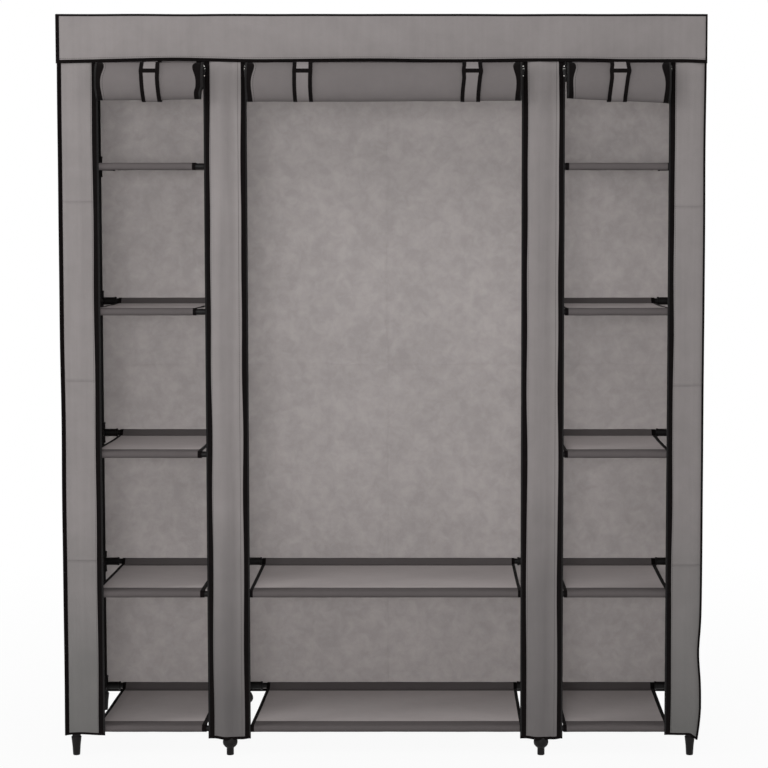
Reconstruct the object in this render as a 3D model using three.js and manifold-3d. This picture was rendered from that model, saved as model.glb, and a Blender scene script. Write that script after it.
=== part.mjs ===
// Portable fabric wardrobe: a push-together tube frame, cloth shelves and a zip-up cloth cover.
// Millimetres, +Z up, the front towards -Y, +X to the right of someone who faces it.
import * as THREE from 'three';
import { mergeVertices } from 'three/addons/utils/BufferGeometryUtils.js';
import Module from 'manifold-3d';

const wasm = await Module();
wasm.setup();

// Bays and levels of the frame, from tube axis to tube axis
const LEFT_BAY_WIDTH = 364;
const MIDDLE_BAY_WIDTH = 736;
const RIGHT_BAY_WIDTH = 352;
const FRAME_DEPTH = 420;
const BOTTOM_LEVEL_HEIGHT = 63;
const LEVEL_SPACINGS = [322, 331, 335, 338.5, 335.5];
const MIDDLE_SHELF_LEVELS = 2;

// Tubes and the moulded connectors that they push into
const TUBE_RADIUS = 7;
const CONNECTOR_WALL_THICKNESS = 3.5;
const SLEEVE_HALF_LENGTH = 26;
const SLEEVE_CAP_HEIGHT = 11;
const ARM_LENGTH = 42;
const SOCKET_DEPTH = 22;
const TUBE_SIDES = 8;
const CONNECTOR_SIDES = 8;

// Feet: cups under the inner columns, slim tapers under the outer ones
const FOOT_HEIGHT = 44;
const CUP_RADIUS = 17.5;
const TAPER_RADIUS = 12;
const cupProfileShares = [
  [0, 0],
  [0.49, 0],
  [0.49, 0.4],
  [0.92, 0.56],
  [1, 0.74],
  [0.76, 1],
  [0, 1],
];
const taperProfileShares = [
  [0, 0],
  [0.7, 0],
  [0.8, 0.5],
  [1, 1],
  [0, 1],
];

// Clearances
const GAP = 0.3;
const OVERRUN = 0.5;
const MERGE_DISTANCE = 0.005;

// Cloth, the piping along its outer seams and how far it stands proud between the levels
const CLOTH_THICKNESS = 1.2;
const PIPING_RADIUS = 2.6;
const PIPING_SIDES = 6;
const BILLOW_DEPTH = 3;
const COVER_STEPS = 10;
const SIDE_STEPS = 3;
const STRIP_STEPS = 2;

// Cover
const SIDE_CLEARANCE = 12;
const HEM_CLEARANCE = 1;
const LEFT_STRIP_WIDTH = 93;
const RIGHT_STRIP_WIDTH = 84.5;
const INNER_STRIP_WIDTH = 100;
const HEADER_HEIGHT = 47;
const VALANCE_HEIGHT = 105;
const VALANCE_CLEARANCE = 3.2;
const VALANCE_BINDING_HEIGHT = 8;
const VALANCE_BINDING_THICKNESS = 0.6;
const VALANCE_WAVE_HEIGHT = 2.5;
const VALANCE_WAVE_LENGTH = 430;
const VALANCE_STEPS = 14;

// Cloth shelves, sewn round the front and the back rail, and how far each edge is from its column
const LEFT_SHELF_INSETS = [48.5, 70.5];
const MIDDLE_SHELF_INSETS = [53, 45];
const RIGHT_SHELF_INSETS = [52.5, 54.5];
const SHELF_SAG_DEPTH = 5;
const SHELF_SAG_STEPS = 4;

// Rolled doors: each holds its whole cloth, from the header down to the hem
const DOOR_EDGE_GAP = 3;
const ROLL_CLEARANCE = 3;
const ROLL_HALF_HEIGHT = 44.4;
const ROLL_HALF_DEPTH = 28;
const ROLL_CORE_HALF_HEIGHT = 19;
const ROLL_CORE_HALF_DEPTH = 6.5;
const ROLL_STEPS = 12;

// Straps that tie the rolls up, and how far each is from the middle of its door
const STRAP_WIDTH = 45;
const LEFT_STRAP_OFFSETS = [4];
const MIDDLE_STRAP_OFFSETS = [-186, 203];
const RIGHT_STRAP_OFFSETS = [3];
const STRAP_CLEARANCE = 5;
const LOOP_SHARE = 3 / 4;

// Zips: a toothed track along each front edge of the strips, and a slider with its pull on each
const TRACK_WIDTH = 4;
const TRACK_THICKNESS = 2.6;
const SLIDER_WALL_THICKNESS = 1;
const SLIDER_WIDTH = 7.8;
const SLIDER_LENGTH = 15;
const SLIDER_CLEARANCE = 10;
const BRIDGE_WIDTH = 2.6;
const BRIDGE_HEIGHT = 8;
const BRIDGE_DEPTH = 2.2;
const PULL_WIDTH = 5.6;
const PULL_LENGTH = 24;
const PULL_THICKNESS = 1.2;
const PULL_HOLE_RADIUS = 1.3;
const PULL_END_STEPS = 4;

// Places worked out from the sizes above
const columns = [-(LEFT_BAY_WIDTH + MIDDLE_BAY_WIDTH + RIGHT_BAY_WIDTH) / 2];
for (const bay of [LEFT_BAY_WIDTH, MIDDLE_BAY_WIDTH, RIGHT_BAY_WIDTH]) {
  columns.push(columns.at(-1) + bay);
}
const levels = [BOTTOM_LEVEL_HEIGHT];
for (const step of LEVEL_SPACINGS) {
  levels.push(levels.at(-1) + step);
}
const topLevel = levels.at(-1);
const railY = FRAME_DEPTH / 2;
const connectorRadius = TUBE_RADIUS + CONNECTOR_WALL_THICKNESS;
const hemHeight = FOOT_HEIGHT + HEM_CLEARANCE;
const halfCloth = CLOTH_THICKNESS / 2;
const frontMid = -(railY + connectorRadius + GAP + halfCloth);
const backMid = -frontMid;
const valanceMid = frontMid - CLOTH_THICKNESS - VALANCE_CLEARANCE;
const sideMid = columns.at(-1) + connectorRadius + SIDE_CLEARANCE + halfCloth;
const topMid = topLevel + SLEEVE_CAP_HEIGHT + GAP + halfCloth;
const headerBottom = topMid - HEADER_HEIGHT;
const valanceBottom = topMid - VALANCE_HEIGHT;
const coverTop = topMid - PIPING_RADIUS - GAP;
const topBackEdge = backMid + PIPING_RADIUS - halfCloth;
const openings = [
  {
    name: 'left',
    start: -sideMid + LEFT_STRIP_WIDTH,
    end: columns[1] - INNER_STRIP_WIDTH / 2,
    straps: LEFT_STRAP_OFFSETS,
  },
  {
    name: 'middle',
    start: columns[1] + INNER_STRIP_WIDTH / 2,
    end: columns[2] - INNER_STRIP_WIDTH / 2,
    straps: MIDDLE_STRAP_OFFSETS,
  },
  {
    name: 'right',
    start: columns[2] + INNER_STRIP_WIDTH / 2,
    end: sideMid - RIGHT_STRIP_WIDTH,
    straps: RIGHT_STRAP_OFFSETS,
  },
];

// Materials
const clothGrey = new THREE.MeshStandardMaterial({ color: 0x8d8884, roughness: 0.95, metalness: 0 });
const panelGrey = new THREE.MeshStandardMaterial({ color: 0x9a9591, roughness: 0.95, metalness: 0 });
const shelfGrey = new THREE.MeshStandardMaterial({ color: 0x777270, roughness: 0.95, metalness: 0 });
const frameBlack = new THREE.MeshStandardMaterial({ color: 0x171514, roughness: 0.45, metalness: 0.3 });
const zipBlack = new THREE.MeshStandardMaterial({ color: 0x1b1a1a, roughness: 0.4, metalness: 0.6 });

const wardrobe = new THREE.Group();

function addPiece(name, geometry, material, x = 0, y = 0, z = 0) {
  const mesh = new THREE.Mesh(geometry, material);
  mesh.name = name;
  mesh.position.set(x, y, z);
  wardrobe.add(mesh);
}

// Joins and cuts
function solidOf(geometry) {
  const bare = geometry.clone();
  bare.deleteAttribute('normal');
  bare.deleteAttribute('uv');
  const merged = mergeVertices(bare, MERGE_DISTANCE);
  return new wasm.Manifold(
    new wasm.Mesh({
      numProp: 3,
      vertProperties: Float32Array.from(merged.attributes.position.array),
      triVerts: Uint32Array.from(merged.index.array),
    }),
  );
}

function geometryOf(solid) {
  const mesh = solid.getMesh();
  const geometry = new THREE.BufferGeometry();
  geometry.setAttribute('position', new THREE.BufferAttribute(mesh.vertProperties, 3));
  geometry.setIndex(new THREE.BufferAttribute(mesh.triVerts, 1));
  geometry.computeVertexNormals();
  return geometry;
}

function joinAll(geometries, cuts = []) {
  let solid = solidOf(geometries[0]);
  for (const geometry of geometries.slice(1)) {
    solid = solid.add(solidOf(geometry));
  }
  for (const cut of cuts) {
    solid = solid.subtract(solidOf(cut));
  }
  return geometryOf(solid);
}

// Points round an arc, from one angle to another, both included
function arcPoints(centre, radiusX, radiusY, from, to, steps) {
  return Array.from({ length: steps + 1 }, (_, i) => {
    const angle = from + ((to - from) * i) / steps;
    return new THREE.Vector2(centre.x + radiusX * Math.cos(angle), centre.y + radiusY * Math.sin(angle));
  });
}

function circlePoints(radius, sides, centre = new THREE.Vector2()) {
  const halfSide = Math.PI / sides;
  return arcPoints(centre, radius, radius, halfSide, 2 * Math.PI + halfSide, sides).slice(0, -1);
}

// Points between two places on a straight run, both included
function runPoints(start, end, steps) {
  return Array.from({ length: steps + 1 }, (_, i) => start.clone().lerp(end, i / steps));
}

function boxBetween(low, high) {
  const size = new THREE.Vector3().subVectors(high, low);
  const geometry = new THREE.BoxGeometry(size.x, size.y, size.z);
  return geometry.translate(low.x + size.x / 2, low.y + size.y / 2, low.z + size.z / 2);
}

// A round bar along one axis: X, Y or Z
function bar(radius, start, end, sides) {
  const run = new THREE.Vector3().subVectors(end, start);
  const geometry = new THREE.CylinderGeometry(radius, radius, run.length(), sides);
  geometry.rotateY(Math.PI / sides);
  const along = run.clone().normalize();
  const turn = new THREE.Quaternion().setFromUnitVectors(new THREE.Vector3(0, 1, 0), along);
  geometry.applyQuaternion(turn);
  return geometry.translate(start.x + run.x / 2, start.y + run.y / 2, start.z + run.z / 2);
}

// A profile drawn in Y and Z and run along X, centred on the middle of its width
function acrossWidth(points, width, steps = 1, holes = []) {
  const shape = new THREE.Shape(points);
  for (const hole of holes) {
    shape.holes.push(new THREE.Path(hole));
  }
  const geometry = new THREE.ExtrudeGeometry(shape, { depth: width, steps, bevelEnabled: false });
  geometry.translate(0, 0, -width / 2);
  const axes = [new THREE.Vector3(0, 1, 0), new THREE.Vector3(0, 0, 1), new THREE.Vector3(1, 0, 0)];
  return geometry.applyMatrix4(new THREE.Matrix4().makeBasis(...axes));
}

// An outline drawn in X and Y and raised along Z
function upFrom(points, bottom, top, steps = 1) {
  const shape = new THREE.Shape(points);
  const geometry = new THREE.ExtrudeGeometry(shape, { depth: top - bottom, steps, bevelEnabled: false });
  return geometry.translate(0, 0, bottom);
}

function moveEach(geometry, shift) {
  const places = geometry.attributes.position;
  for (let i = 0; i < places.count; i += 1) {
    const place = new THREE.Vector3().fromBufferAttribute(places, i);
    const moved = place.clone().add(shift(place));
    places.setXYZ(i, moved.x, moved.y, moved.z);
  }
  geometry.computeVertexNormals();
  return geometry;
}

// How far up its swell the cloth is at a height: none at a level, all of it midway to the next
function swellAt(z) {
  const above = levels.findIndex((level) => level >= z);
  if (above <= 0) {
    return 0;
  }
  const share = (z - levels[above - 1]) / (levels[above] - levels[above - 1]);
  return Math.sin(Math.PI * share);
}

function swellAcross(place, start, end) {
  const share = THREE.MathUtils.clamp((place - start) / (end - start), 0, 1);
  return Math.sin(Math.PI * share);
}

// Frame side: two uprights on their feet, six connectors on each, and the rails that run front to back
function foot(shares, radius, x, y) {
  const profile = shares.map(([out, up]) => new THREE.Vector2(out * radius, up * FOOT_HEIGHT));
  const geometry = new THREE.LatheGeometry(profile, CONNECTOR_SIDES);
  geometry.rotateX(Math.PI / 2);
  return geometry.translate(x, y, 0);
}

function frameSide(x, footShares, footRadius, arms) {
  const pieces = [];
  const sockets = [];
  for (const y of [-railY, railY]) {
    const inward = -Math.sign(y);
    pieces.push(foot(footShares, footRadius, x, y));
    const uprightBase = new THREE.Vector3(x, y, FOOT_HEIGHT / 2);
    pieces.push(bar(TUBE_RADIUS, uprightBase, new THREE.Vector3(x, y, topLevel), CONNECTOR_SIDES));
    for (const level of levels) {
      const crown = level === topLevel ? SLEEVE_CAP_HEIGHT : SLEEVE_HALF_LENGTH;
      const sleeveBase = new THREE.Vector3(x, y, level - SLEEVE_HALF_LENGTH);
      const sleeveTop = new THREE.Vector3(x, y, level + crown);
      pieces.push(bar(connectorRadius, sleeveBase, sleeveTop, CONNECTOR_SIDES));
      const hub = new THREE.Vector3(x, y, level);
      const armEnd = new THREE.Vector3(x, y + inward * ARM_LENGTH, level);
      pieces.push(bar(connectorRadius, hub, armEnd, CONNECTOR_SIDES));
    }
  }
  for (const level of levels) {
    const front = new THREE.Vector3(x, -railY, level);
    const back = new THREE.Vector3(x, railY, level);
    pieces.push(bar(TUBE_RADIUS, front, back, CONNECTOR_SIDES));
  }
  for (const arm of arms) {
    const hub = new THREE.Vector3(x, arm.y, arm.z);
    pieces.push(bar(connectorRadius, hub, hub.clone().setX(x + arm.side * ARM_LENGTH), CONNECTOR_SIDES));
    if (arm.railEnd === undefined) {
      const floor = hub.clone().setX(x + arm.side * (ARM_LENGTH - SOCKET_DEPTH));
      const mouth = hub.clone().setX(x + arm.side * (ARM_LENGTH + OVERRUN));
      sockets.push(bar(TUBE_RADIUS + GAP, floor, mouth, TUBE_SIDES));
    } else {
      pieces.push(bar(TUBE_RADIUS, hub, hub.clone().setX(arm.railEnd), CONNECTOR_SIDES));
    }
    if (arm.y === 0) {
      const front = new THREE.Vector3(x, -SLEEVE_HALF_LENGTH, arm.z);
      const back = new THREE.Vector3(x, SLEEVE_HALF_LENGTH, arm.z);
      pieces.push(bar(connectorRadius, front, back, CONNECTOR_SIDES));
    }
  }
  return joinAll(pieces, sockets);
}

// Arms on one side of a column at the given levels, front and back
function armsAt(side, heights, railEnd) {
  return heights.flatMap((z) => [-railY, railY].map((y) => ({ side, y, z, railEnd })));
}

// Where a rail that is pushed into the arm on this side of a column ends
function railEndIn(column, side) {
  return columns[column] + side * (ARM_LENGTH - SOCKET_DEPTH + GAP);
}

const shelfLevels = levels.slice(0, -1);
const middleLevels = levels.slice(0, MIDDLE_SHELF_LEVELS);
const hangingArm = { y: 0, z: topLevel };
const frameSides = {
  frame_side_left_outer: [
    ...armsAt(1, shelfLevels),
    ...armsAt(1, [topLevel], railEndIn(1, -1)),
  ],
  frame_side_left_inner: [
    ...armsAt(-1, levels),
    ...armsAt(1, middleLevels),
    ...armsAt(1, [topLevel], railEndIn(2, -1)),
    { ...hangingArm, side: 1 },
  ],
  frame_side_right_inner: [
    ...armsAt(1, levels),
    ...armsAt(-1, [...middleLevels, topLevel]),
    { ...hangingArm, side: -1 },
  ],
  frame_side_right_outer: [
    ...armsAt(-1, shelfLevels),
    ...armsAt(-1, [topLevel], railEndIn(2, 1)),
  ],
};
Object.entries(frameSides).forEach(([name, arms], column) => {
  const inner = name.endsWith('inner');
  const shares = inner ? cupProfileShares : taperProfileShares;
  const radius = inner ? CUP_RADIUS : TAPER_RADIUS;
  addPiece(name, frameSide(columns[column], shares, radius, arms), frameBlack);
});

// Rails whose ends sit in the connectors' sockets
function addRail(name, bay, y, z) {
  const start = railEndIn(bay, 1);
  const end = railEndIn(bay + 1, -1);
  const rail = acrossWidth(circlePoints(TUBE_RADIUS, TUBE_SIDES), end - start);
  addPiece(name, rail, frameBlack, (start + end) / 2, y, z);
}

// A cloth shelf: a sleeve round each rail and the sagging web between them, all one sewn sheet
function shelfGeometry(width) {
  const sleeve = TUBE_RADIUS + GAP + CLOTH_THICKNESS;
  const bore = TUBE_RADIUS + GAP;
  const leave = Math.asin(bore / sleeve);
  const front = new THREE.Vector2(-railY, 0);
  const back = new THREE.Vector2(railY, 0);
  const sagAt = (y) => -SHELF_SAG_DEPTH * Math.cos((Math.PI * y) / (2 * railY)) ** 2;
  const web = (height, from, to) =>
    runPoints(new THREE.Vector2(from, height), new THREE.Vector2(to, height), SHELF_SAG_STEPS)
      .slice(1, -1)
      .map((point) => point.setY(height + sagAt(point.x)));
  const outline = [
    ...arcPoints(front, sleeve, sleeve, Math.PI / 2, 2 * Math.PI + leave, CONNECTOR_SIDES),
    ...web(bore, -railY, railY),
    ...arcPoints(back, sleeve, sleeve, Math.PI - leave, 2 * Math.PI + Math.PI / 2, CONNECTOR_SIDES),
    ...web(sleeve, railY, -railY),
  ];
  const bores = [front, back].map((centre) => circlePoints(bore, TUBE_SIDES, centre));
  return acrossWidth(outline, width, 1, bores);
}

const bays = [
  { name: 'left', bay: 0, heights: shelfLevels, insets: LEFT_SHELF_INSETS },
  { name: 'middle', bay: 1, heights: middleLevels, insets: MIDDLE_SHELF_INSETS },
  { name: 'right', bay: 2, heights: shelfLevels, insets: RIGHT_SHELF_INSETS },
];
for (const { name, bay, heights, insets } of bays) {
  const left = columns[bay] + insets[0];
  const right = columns[bay + 1] - insets[1];
  heights.forEach((level, index) => {
    const number = index + 1;
    addRail(`rail_${name}_${number}_front`, bay, -railY, level);
    addRail(`rail_${name}_${number}_back`, bay, railY, level);
    const shelf = shelfGeometry(right - left);
    addPiece(`shelf_${name}_${number}`, shelf, shelfGrey, (left + right) / 2, 0, level);
  });
}
addRail('hanging_rail', 1, 0, topLevel);

// Outlines of the cover's upright panels, seen from above
function corner(x, y) {
  return new THREE.Vector2(x, y);
}

// The zip track along an edge of a front strip, from its outer face round to its inner face
function trackPoints(edge, inward) {
  const tape = edge + inward * TRACK_WIDTH;
  const half = TRACK_THICKNESS / 2;
  return [
    corner(tape, frontMid - halfCloth),
    corner(tape, frontMid - half),
    corner(edge, frontMid - half),
    corner(edge, frontMid + half),
    corner(tape, frontMid + half),
    corner(tape, frontMid + halfCloth),
  ];
}

const pipingLeave = Math.asin(halfCloth / PIPING_RADIUS);

// Side panel and outer front strip in one piece, folded round the front upright
function sideCover(side, stripWidth) {
  const cornerMid = corner(side * sideMid, frontMid);
  const edge = side * (sideMid - stripWidth);
  const piping = arcPoints(
    corner(sideMid, frontMid),
    PIPING_RADIUS,
    PIPING_RADIUS,
    pipingLeave,
    -Math.PI / 2 - pipingLeave,
    PIPING_SIDES,
  ).map((point) => corner(side * point.x, point.y));
  const track = trackPoints(edge, side);
  const panelEnd = backMid - PIPING_RADIUS - GAP;
  const outerX = cornerMid.x + side * halfCloth;
  const innerX = cornerMid.x - side * halfCloth;
  const innerY = frontMid + halfCloth;
  const outline = [
    ...runPoints(corner(outerX, panelEnd), piping[0], SIDE_STEPS).slice(0, -1),
    ...piping,
    ...runPoints(piping.at(-1), track[0], STRIP_STEPS).slice(1, -1),
    ...track,
    ...runPoints(track.at(-1), corner(innerX, innerY), STRIP_STEPS).slice(1),
    ...runPoints(corner(innerX, innerY), corner(innerX, panelEnd), SIDE_STEPS).slice(1),
  ];
  const geometry = upFrom(outline, hemHeight, coverTop, COVER_STEPS);
  return moveEach(geometry, ({ x, y, z }) => {
    const swell = BILLOW_DEPTH * swellAt(z);
    const sideways = side * swell * swellAcross(y, frontMid, panelEnd);
    const forward = -swell * swellAcross(x, edge + side * TRACK_WIDTH, cornerMid.x);
    return new THREE.Vector3(sideways, forward, 0);
  });
}

// Inner front strip, with a zip track down both edges
function innerStrip(column) {
  const left = columns[column] - INNER_STRIP_WIDTH / 2;
  const right = columns[column] + INNER_STRIP_WIDTH / 2;
  const leftTrack = trackPoints(left, 1);
  const rightTrack = trackPoints(right, -1).reverse();
  const outline = [
    ...leftTrack,
    ...runPoints(leftTrack.at(-1), rightTrack[0], STRIP_STEPS).slice(1, -1),
    ...rightTrack,
    ...runPoints(rightTrack.at(-1), leftTrack[0], STRIP_STEPS).slice(1, -1),
  ];
  const geometry = upFrom(outline, hemHeight, headerBottom - GAP, COVER_STEPS);
  return moveEach(geometry, ({ x, z }) => {
    const forward = -BILLOW_DEPTH * swellAt(z) * swellAcross(x, left + TRACK_WIDTH, right - TRACK_WIDTH);
    return new THREE.Vector3(0, forward, 0);
  });
}

// Back panel, with the piping of both back corners
function backPanel() {
  const panelSteps = SIDE_STEPS + 1;
  const piping = (side) =>
    arcPoints(
      corner(sideMid, 0),
      PIPING_RADIUS,
      PIPING_RADIUS,
      Math.PI - pipingLeave,
      pipingLeave - Math.PI,
      PIPING_SIDES,
    ).map((point) => corner(side * point.x, backMid + side * point.y));
  const right = piping(1);
  const left = piping(-1);
  const outline = [
    ...right,
    ...runPoints(right.at(-1), left[0], panelSteps).slice(1, -1),
    ...left,
    ...runPoints(left.at(-1), right[0], panelSteps).slice(1, -1),
  ];
  const geometry = upFrom(outline, hemHeight, coverTop, COVER_STEPS);
  return moveEach(geometry, ({ x, z }) => {
    const backward = BILLOW_DEPTH * swellAt(z) * swellAcross(x, -sideMid, sideMid);
    return new THREE.Vector3(0, backward, 0);
  });
}

// Top panel with the piping of its four edges
function topPanel() {
  const backEdge = arcPoints(
    corner(topBackEdge, topMid),
    PIPING_RADIUS,
    PIPING_RADIUS,
    pipingLeave - Math.PI,
    Math.PI - pipingLeave,
    PIPING_SIDES,
  );
  const frontEdge = arcPoints(
    corner(valanceMid, topMid),
    PIPING_RADIUS,
    PIPING_RADIUS,
    pipingLeave,
    2 * Math.PI - pipingLeave,
    PIPING_SIDES,
  );
  const panel = acrossWidth([...backEdge, ...frontEdge], 2 * (sideMid + halfCloth));
  const sideEdges = [-sideMid, sideMid].map((x) => {
    const front = new THREE.Vector3(x, valanceMid, topMid);
    return bar(PIPING_RADIUS, front, new THREE.Vector3(x, topBackEdge, topMid), CONNECTOR_SIDES);
  });
  return [panel, ...sideEdges];
}

// Valance that hangs from the front edge of the top, with a binding along its wavy bottom
function valance() {
  const bindingTop = valanceBottom + VALANCE_BINDING_HEIGHT;
  const bindingHalf = halfCloth + VALANCE_BINDING_THICKNESS;
  const outline = [
    corner(valanceMid - halfCloth, topMid),
    corner(valanceMid - halfCloth, bindingTop),
    corner(valanceMid - bindingHalf, bindingTop),
    corner(valanceMid - bindingHalf, valanceBottom),
    corner(valanceMid + bindingHalf, valanceBottom),
    corner(valanceMid + bindingHalf, bindingTop),
    corner(valanceMid + halfCloth, bindingTop),
    corner(valanceMid + halfCloth, topMid),
  ];
  const cloth = acrossWidth(outline, 2 * (sideMid + halfCloth), VALANCE_STEPS);
  return moveEach(cloth, ({ x, z }) => {
    const share = (topMid - z) / (topMid - valanceBottom);
    const wave = VALANCE_WAVE_HEIGHT * Math.sin((2 * Math.PI * x) / VALANCE_WAVE_LENGTH);
    return new THREE.Vector3(0, -Math.abs(wave) * share, wave * share);
  });
}

// Top panel, valance and the header that the doors are sewn to
function topCover() {
  const header = boxBetween(
    new THREE.Vector3(openings[0].start + GAP, frontMid - halfCloth, headerBottom),
    new THREE.Vector3(openings[2].end - GAP, frontMid + halfCloth, topMid),
  );
  return joinAll([...topPanel(), valance(), header]);
}

addPiece('cover_side_left', sideCover(-1, LEFT_STRIP_WIDTH), clothGrey);
addPiece('cover_side_right', sideCover(1, RIGHT_STRIP_WIDTH), clothGrey);
addPiece('cover_strip_left', innerStrip(1), clothGrey);
addPiece('cover_strip_right', innerStrip(2), clothGrey);
addPiece('cover_back', backPanel(), panelGrey);
addPiece('cover_top', topCover(), clothGrey);

// Rolled door, seen from the side: the cloth comes down from the header and winds outwards and up
const rollCentre = corner(
  frontMid - ROLL_HALF_DEPTH,
  valanceBottom - ROLL_CLEARANCE - halfCloth - ROLL_HALF_HEIGHT,
);
const meanHalfDepth = (ROLL_HALF_DEPTH + ROLL_CORE_HALF_DEPTH) / 2;
const meanHalfHeight = (ROLL_HALF_HEIGHT + ROLL_CORE_HALF_HEIGHT) / 2;
const meanTurn = 2 * Math.PI * Math.sqrt((meanHalfDepth ** 2 + meanHalfHeight ** 2) / 2);
const rollTurns = Math.round((rollCentre.y - hemHeight) / meanTurn);

function windingLine() {
  const header = corner(frontMid, headerBottom - GAP);
  const points = [header];
  const steps = rollTurns * ROLL_STEPS;
  for (let i = 0; i <= steps; i += 1) {
    const wound = i / steps;
    const angle = (-2 * Math.PI * i) / ROLL_STEPS;
    const halfDepth = THREE.MathUtils.lerp(ROLL_HALF_DEPTH, ROLL_CORE_HALF_DEPTH, wound);
    const halfHeight = THREE.MathUtils.lerp(ROLL_HALF_HEIGHT, ROLL_CORE_HALF_HEIGHT, wound);
    const outwards = halfDepth * Math.cos(angle);
    const upwards = halfHeight * Math.sin(angle);
    points.push(corner(rollCentre.x + outwards, rollCentre.y + upwards));
  }
  return points;
}

// Both faces of a cloth that follows a line, as one closed outline
function clothOutline(line) {
  const faces = line.map((point, i) => {
    const before = line[Math.max(i - 1, 0)];
    const after = line[Math.min(i + 1, line.length - 1)];
    const along = after.clone().sub(before).normalize();
    const intoBend = i > 0 && i < line.length - 1
      ? point.clone().sub(before).normalize().dot(along)
      : 1;
    const out = corner(-along.y, along.x).multiplyScalar(halfCloth / intoBend);
    return { left: point.clone().add(out), right: point.clone().sub(out) };
  });
  return [...faces.map((face) => face.left), ...faces.map((face) => face.right).reverse()];
}

const windingPoints = windingLine();
const rollOutline = clothOutline(windingPoints);

function leastTurnGap() {
  let least = Infinity;
  for (let i = 1; i + ROLL_STEPS + 1 < windingPoints.length; i += 1) {
    const inner = new THREE.Line3(
      new THREE.Vector3(...windingPoints[i + ROLL_STEPS], 0),
      new THREE.Vector3(...windingPoints[i + ROLL_STEPS + 1], 0),
    );
    const outer = new THREE.Vector3(...windingPoints[i], 0);
    const nearest = inner.closestPointToPoint(outer, true, new THREE.Vector3());
    least = Math.min(least, nearest.distanceTo(outer) - CLOTH_THICKNESS);
  }
  return least;
}
console.log(`door roll: ${rollTurns} turns, least gap ${leastTurnGap().toFixed(2)} mm`);

// Strap: down behind the valance, over the roll, under it and up behind the door cloth
function strapGeometry() {
  const offset = CLOTH_THICKNESS + GAP;
  const top = headerBottom - GAP;
  const frontRun = frontMid - offset;
  const loop = arcPoints(
    rollCentre,
    ROLL_HALF_DEPTH + offset,
    ROLL_HALF_HEIGHT + offset,
    Math.PI / 2,
    2 * Math.PI,
    ROLL_STEPS * LOOP_SHARE,
  );
  const underValance = corner(frontRun, valanceBottom - STRAP_CLEARANCE);
  const line = [corner(frontRun, top), underValance, ...loop, corner(loop.at(-1).x, top)];
  return acrossWidth(clothOutline(line), STRAP_WIDTH);
}

// Slider: two plates joined over the zip track, a bridge and the pull that hangs from it
function sliderGeometry(into) {
  const channel = TRACK_THICKNESS / 2 + GAP;
  const slot = halfCloth + GAP;
  const shell = channel + SLIDER_WALL_THICKNESS;
  const nose = -(GAP + SLIDER_WALL_THICKNESS);
  const tail = nose + SLIDER_WIDTH;
  const trackEnd = TRACK_WIDTH + GAP;
  const clasp = [
    corner(tail, slot),
    corner(tail, shell),
    corner(nose, shell),
    corner(nose, -shell),
    corner(tail, -shell),
    corner(tail, -slot),
    corner(trackEnd, -slot),
    corner(trackEnd, -channel),
    corner(-GAP, -channel),
    corner(-GAP, channel),
    corner(trackEnd, channel),
    corner(trackEnd, slot),
  ].map((point) => corner(-into * point.x, point.y));
  const middle = (-into * (nose + tail)) / 2;
  const body = upFrom(clasp, -SLIDER_LENGTH / 2, SLIDER_LENGTH / 2);
  const bridgeFront = -shell - BRIDGE_DEPTH;
  const bridge = boxBetween(
    new THREE.Vector3(middle - BRIDGE_WIDTH / 2, bridgeFront, -BRIDGE_HEIGHT / 2),
    new THREE.Vector3(middle + BRIDGE_WIDTH / 2, -shell + OVERRUN, BRIDGE_HEIGHT / 2),
  );
  const end = PULL_WIDTH / 2;
  const pullOutline = [
    ...arcPoints(corner(0, -end), end, end, 0, Math.PI, PULL_END_STEPS),
    ...arcPoints(corner(0, end - PULL_LENGTH), end, end, Math.PI, 2 * Math.PI, PULL_END_STEPS),
  ];
  const pullShape = new THREE.Shape(pullOutline);
  const holeCentre = corner(0, PULL_WIDTH - PULL_LENGTH);
  pullShape.holes.push(new THREE.Path(circlePoints(PULL_HOLE_RADIUS, PULL_END_STEPS, holeCentre)));
  const pull = new THREE.ExtrudeGeometry(pullShape, { depth: PULL_THICKNESS, bevelEnabled: false });
  pull.rotateX(Math.PI / 2);
  pull.translate(middle, bridgeFront + PULL_THICKNESS, BRIDGE_HEIGHT / 2);
  return joinAll([body, bridge, pull]);
}

// Each door: its roll, its straps and the two sliders that run down its zips
const sliderHeight = valanceBottom - SLIDER_CLEARANCE - SLIDER_LENGTH / 2;
for (const { name, start, end, straps } of openings) {
  const width = end - start - 2 * DOOR_EDGE_GAP;
  const centre = (start + end) / 2;
  addPiece(`door_roll_${name}`, acrossWidth(rollOutline, width), clothGrey, centre);
  straps.forEach((shift, index) => {
    const strapName = straps.length > 1 ? `strap_${name}_${index + 1}` : `strap_${name}`;
    addPiece(strapName, strapGeometry(), clothGrey, centre + shift);
  });
  addPiece(`zip_slider_${name}_1`, sliderGeometry(1), zipBlack, start, frontMid, sliderHeight);
  addPiece(`zip_slider_${name}_2`, sliderGeometry(-1), zipBlack, end, frontMid, sliderHeight);
}

// The origin: on the floor, under the middle of the whole wardrobe with its rolls up
const extent = new THREE.Box3().setFromObject(wardrobe);
wardrobe.position.set(-(extent.min.x + extent.max.x) / 2, -(extent.min.y + extent.max.y) / 2, 0);

export default wardrobe;
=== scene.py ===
import math

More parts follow.
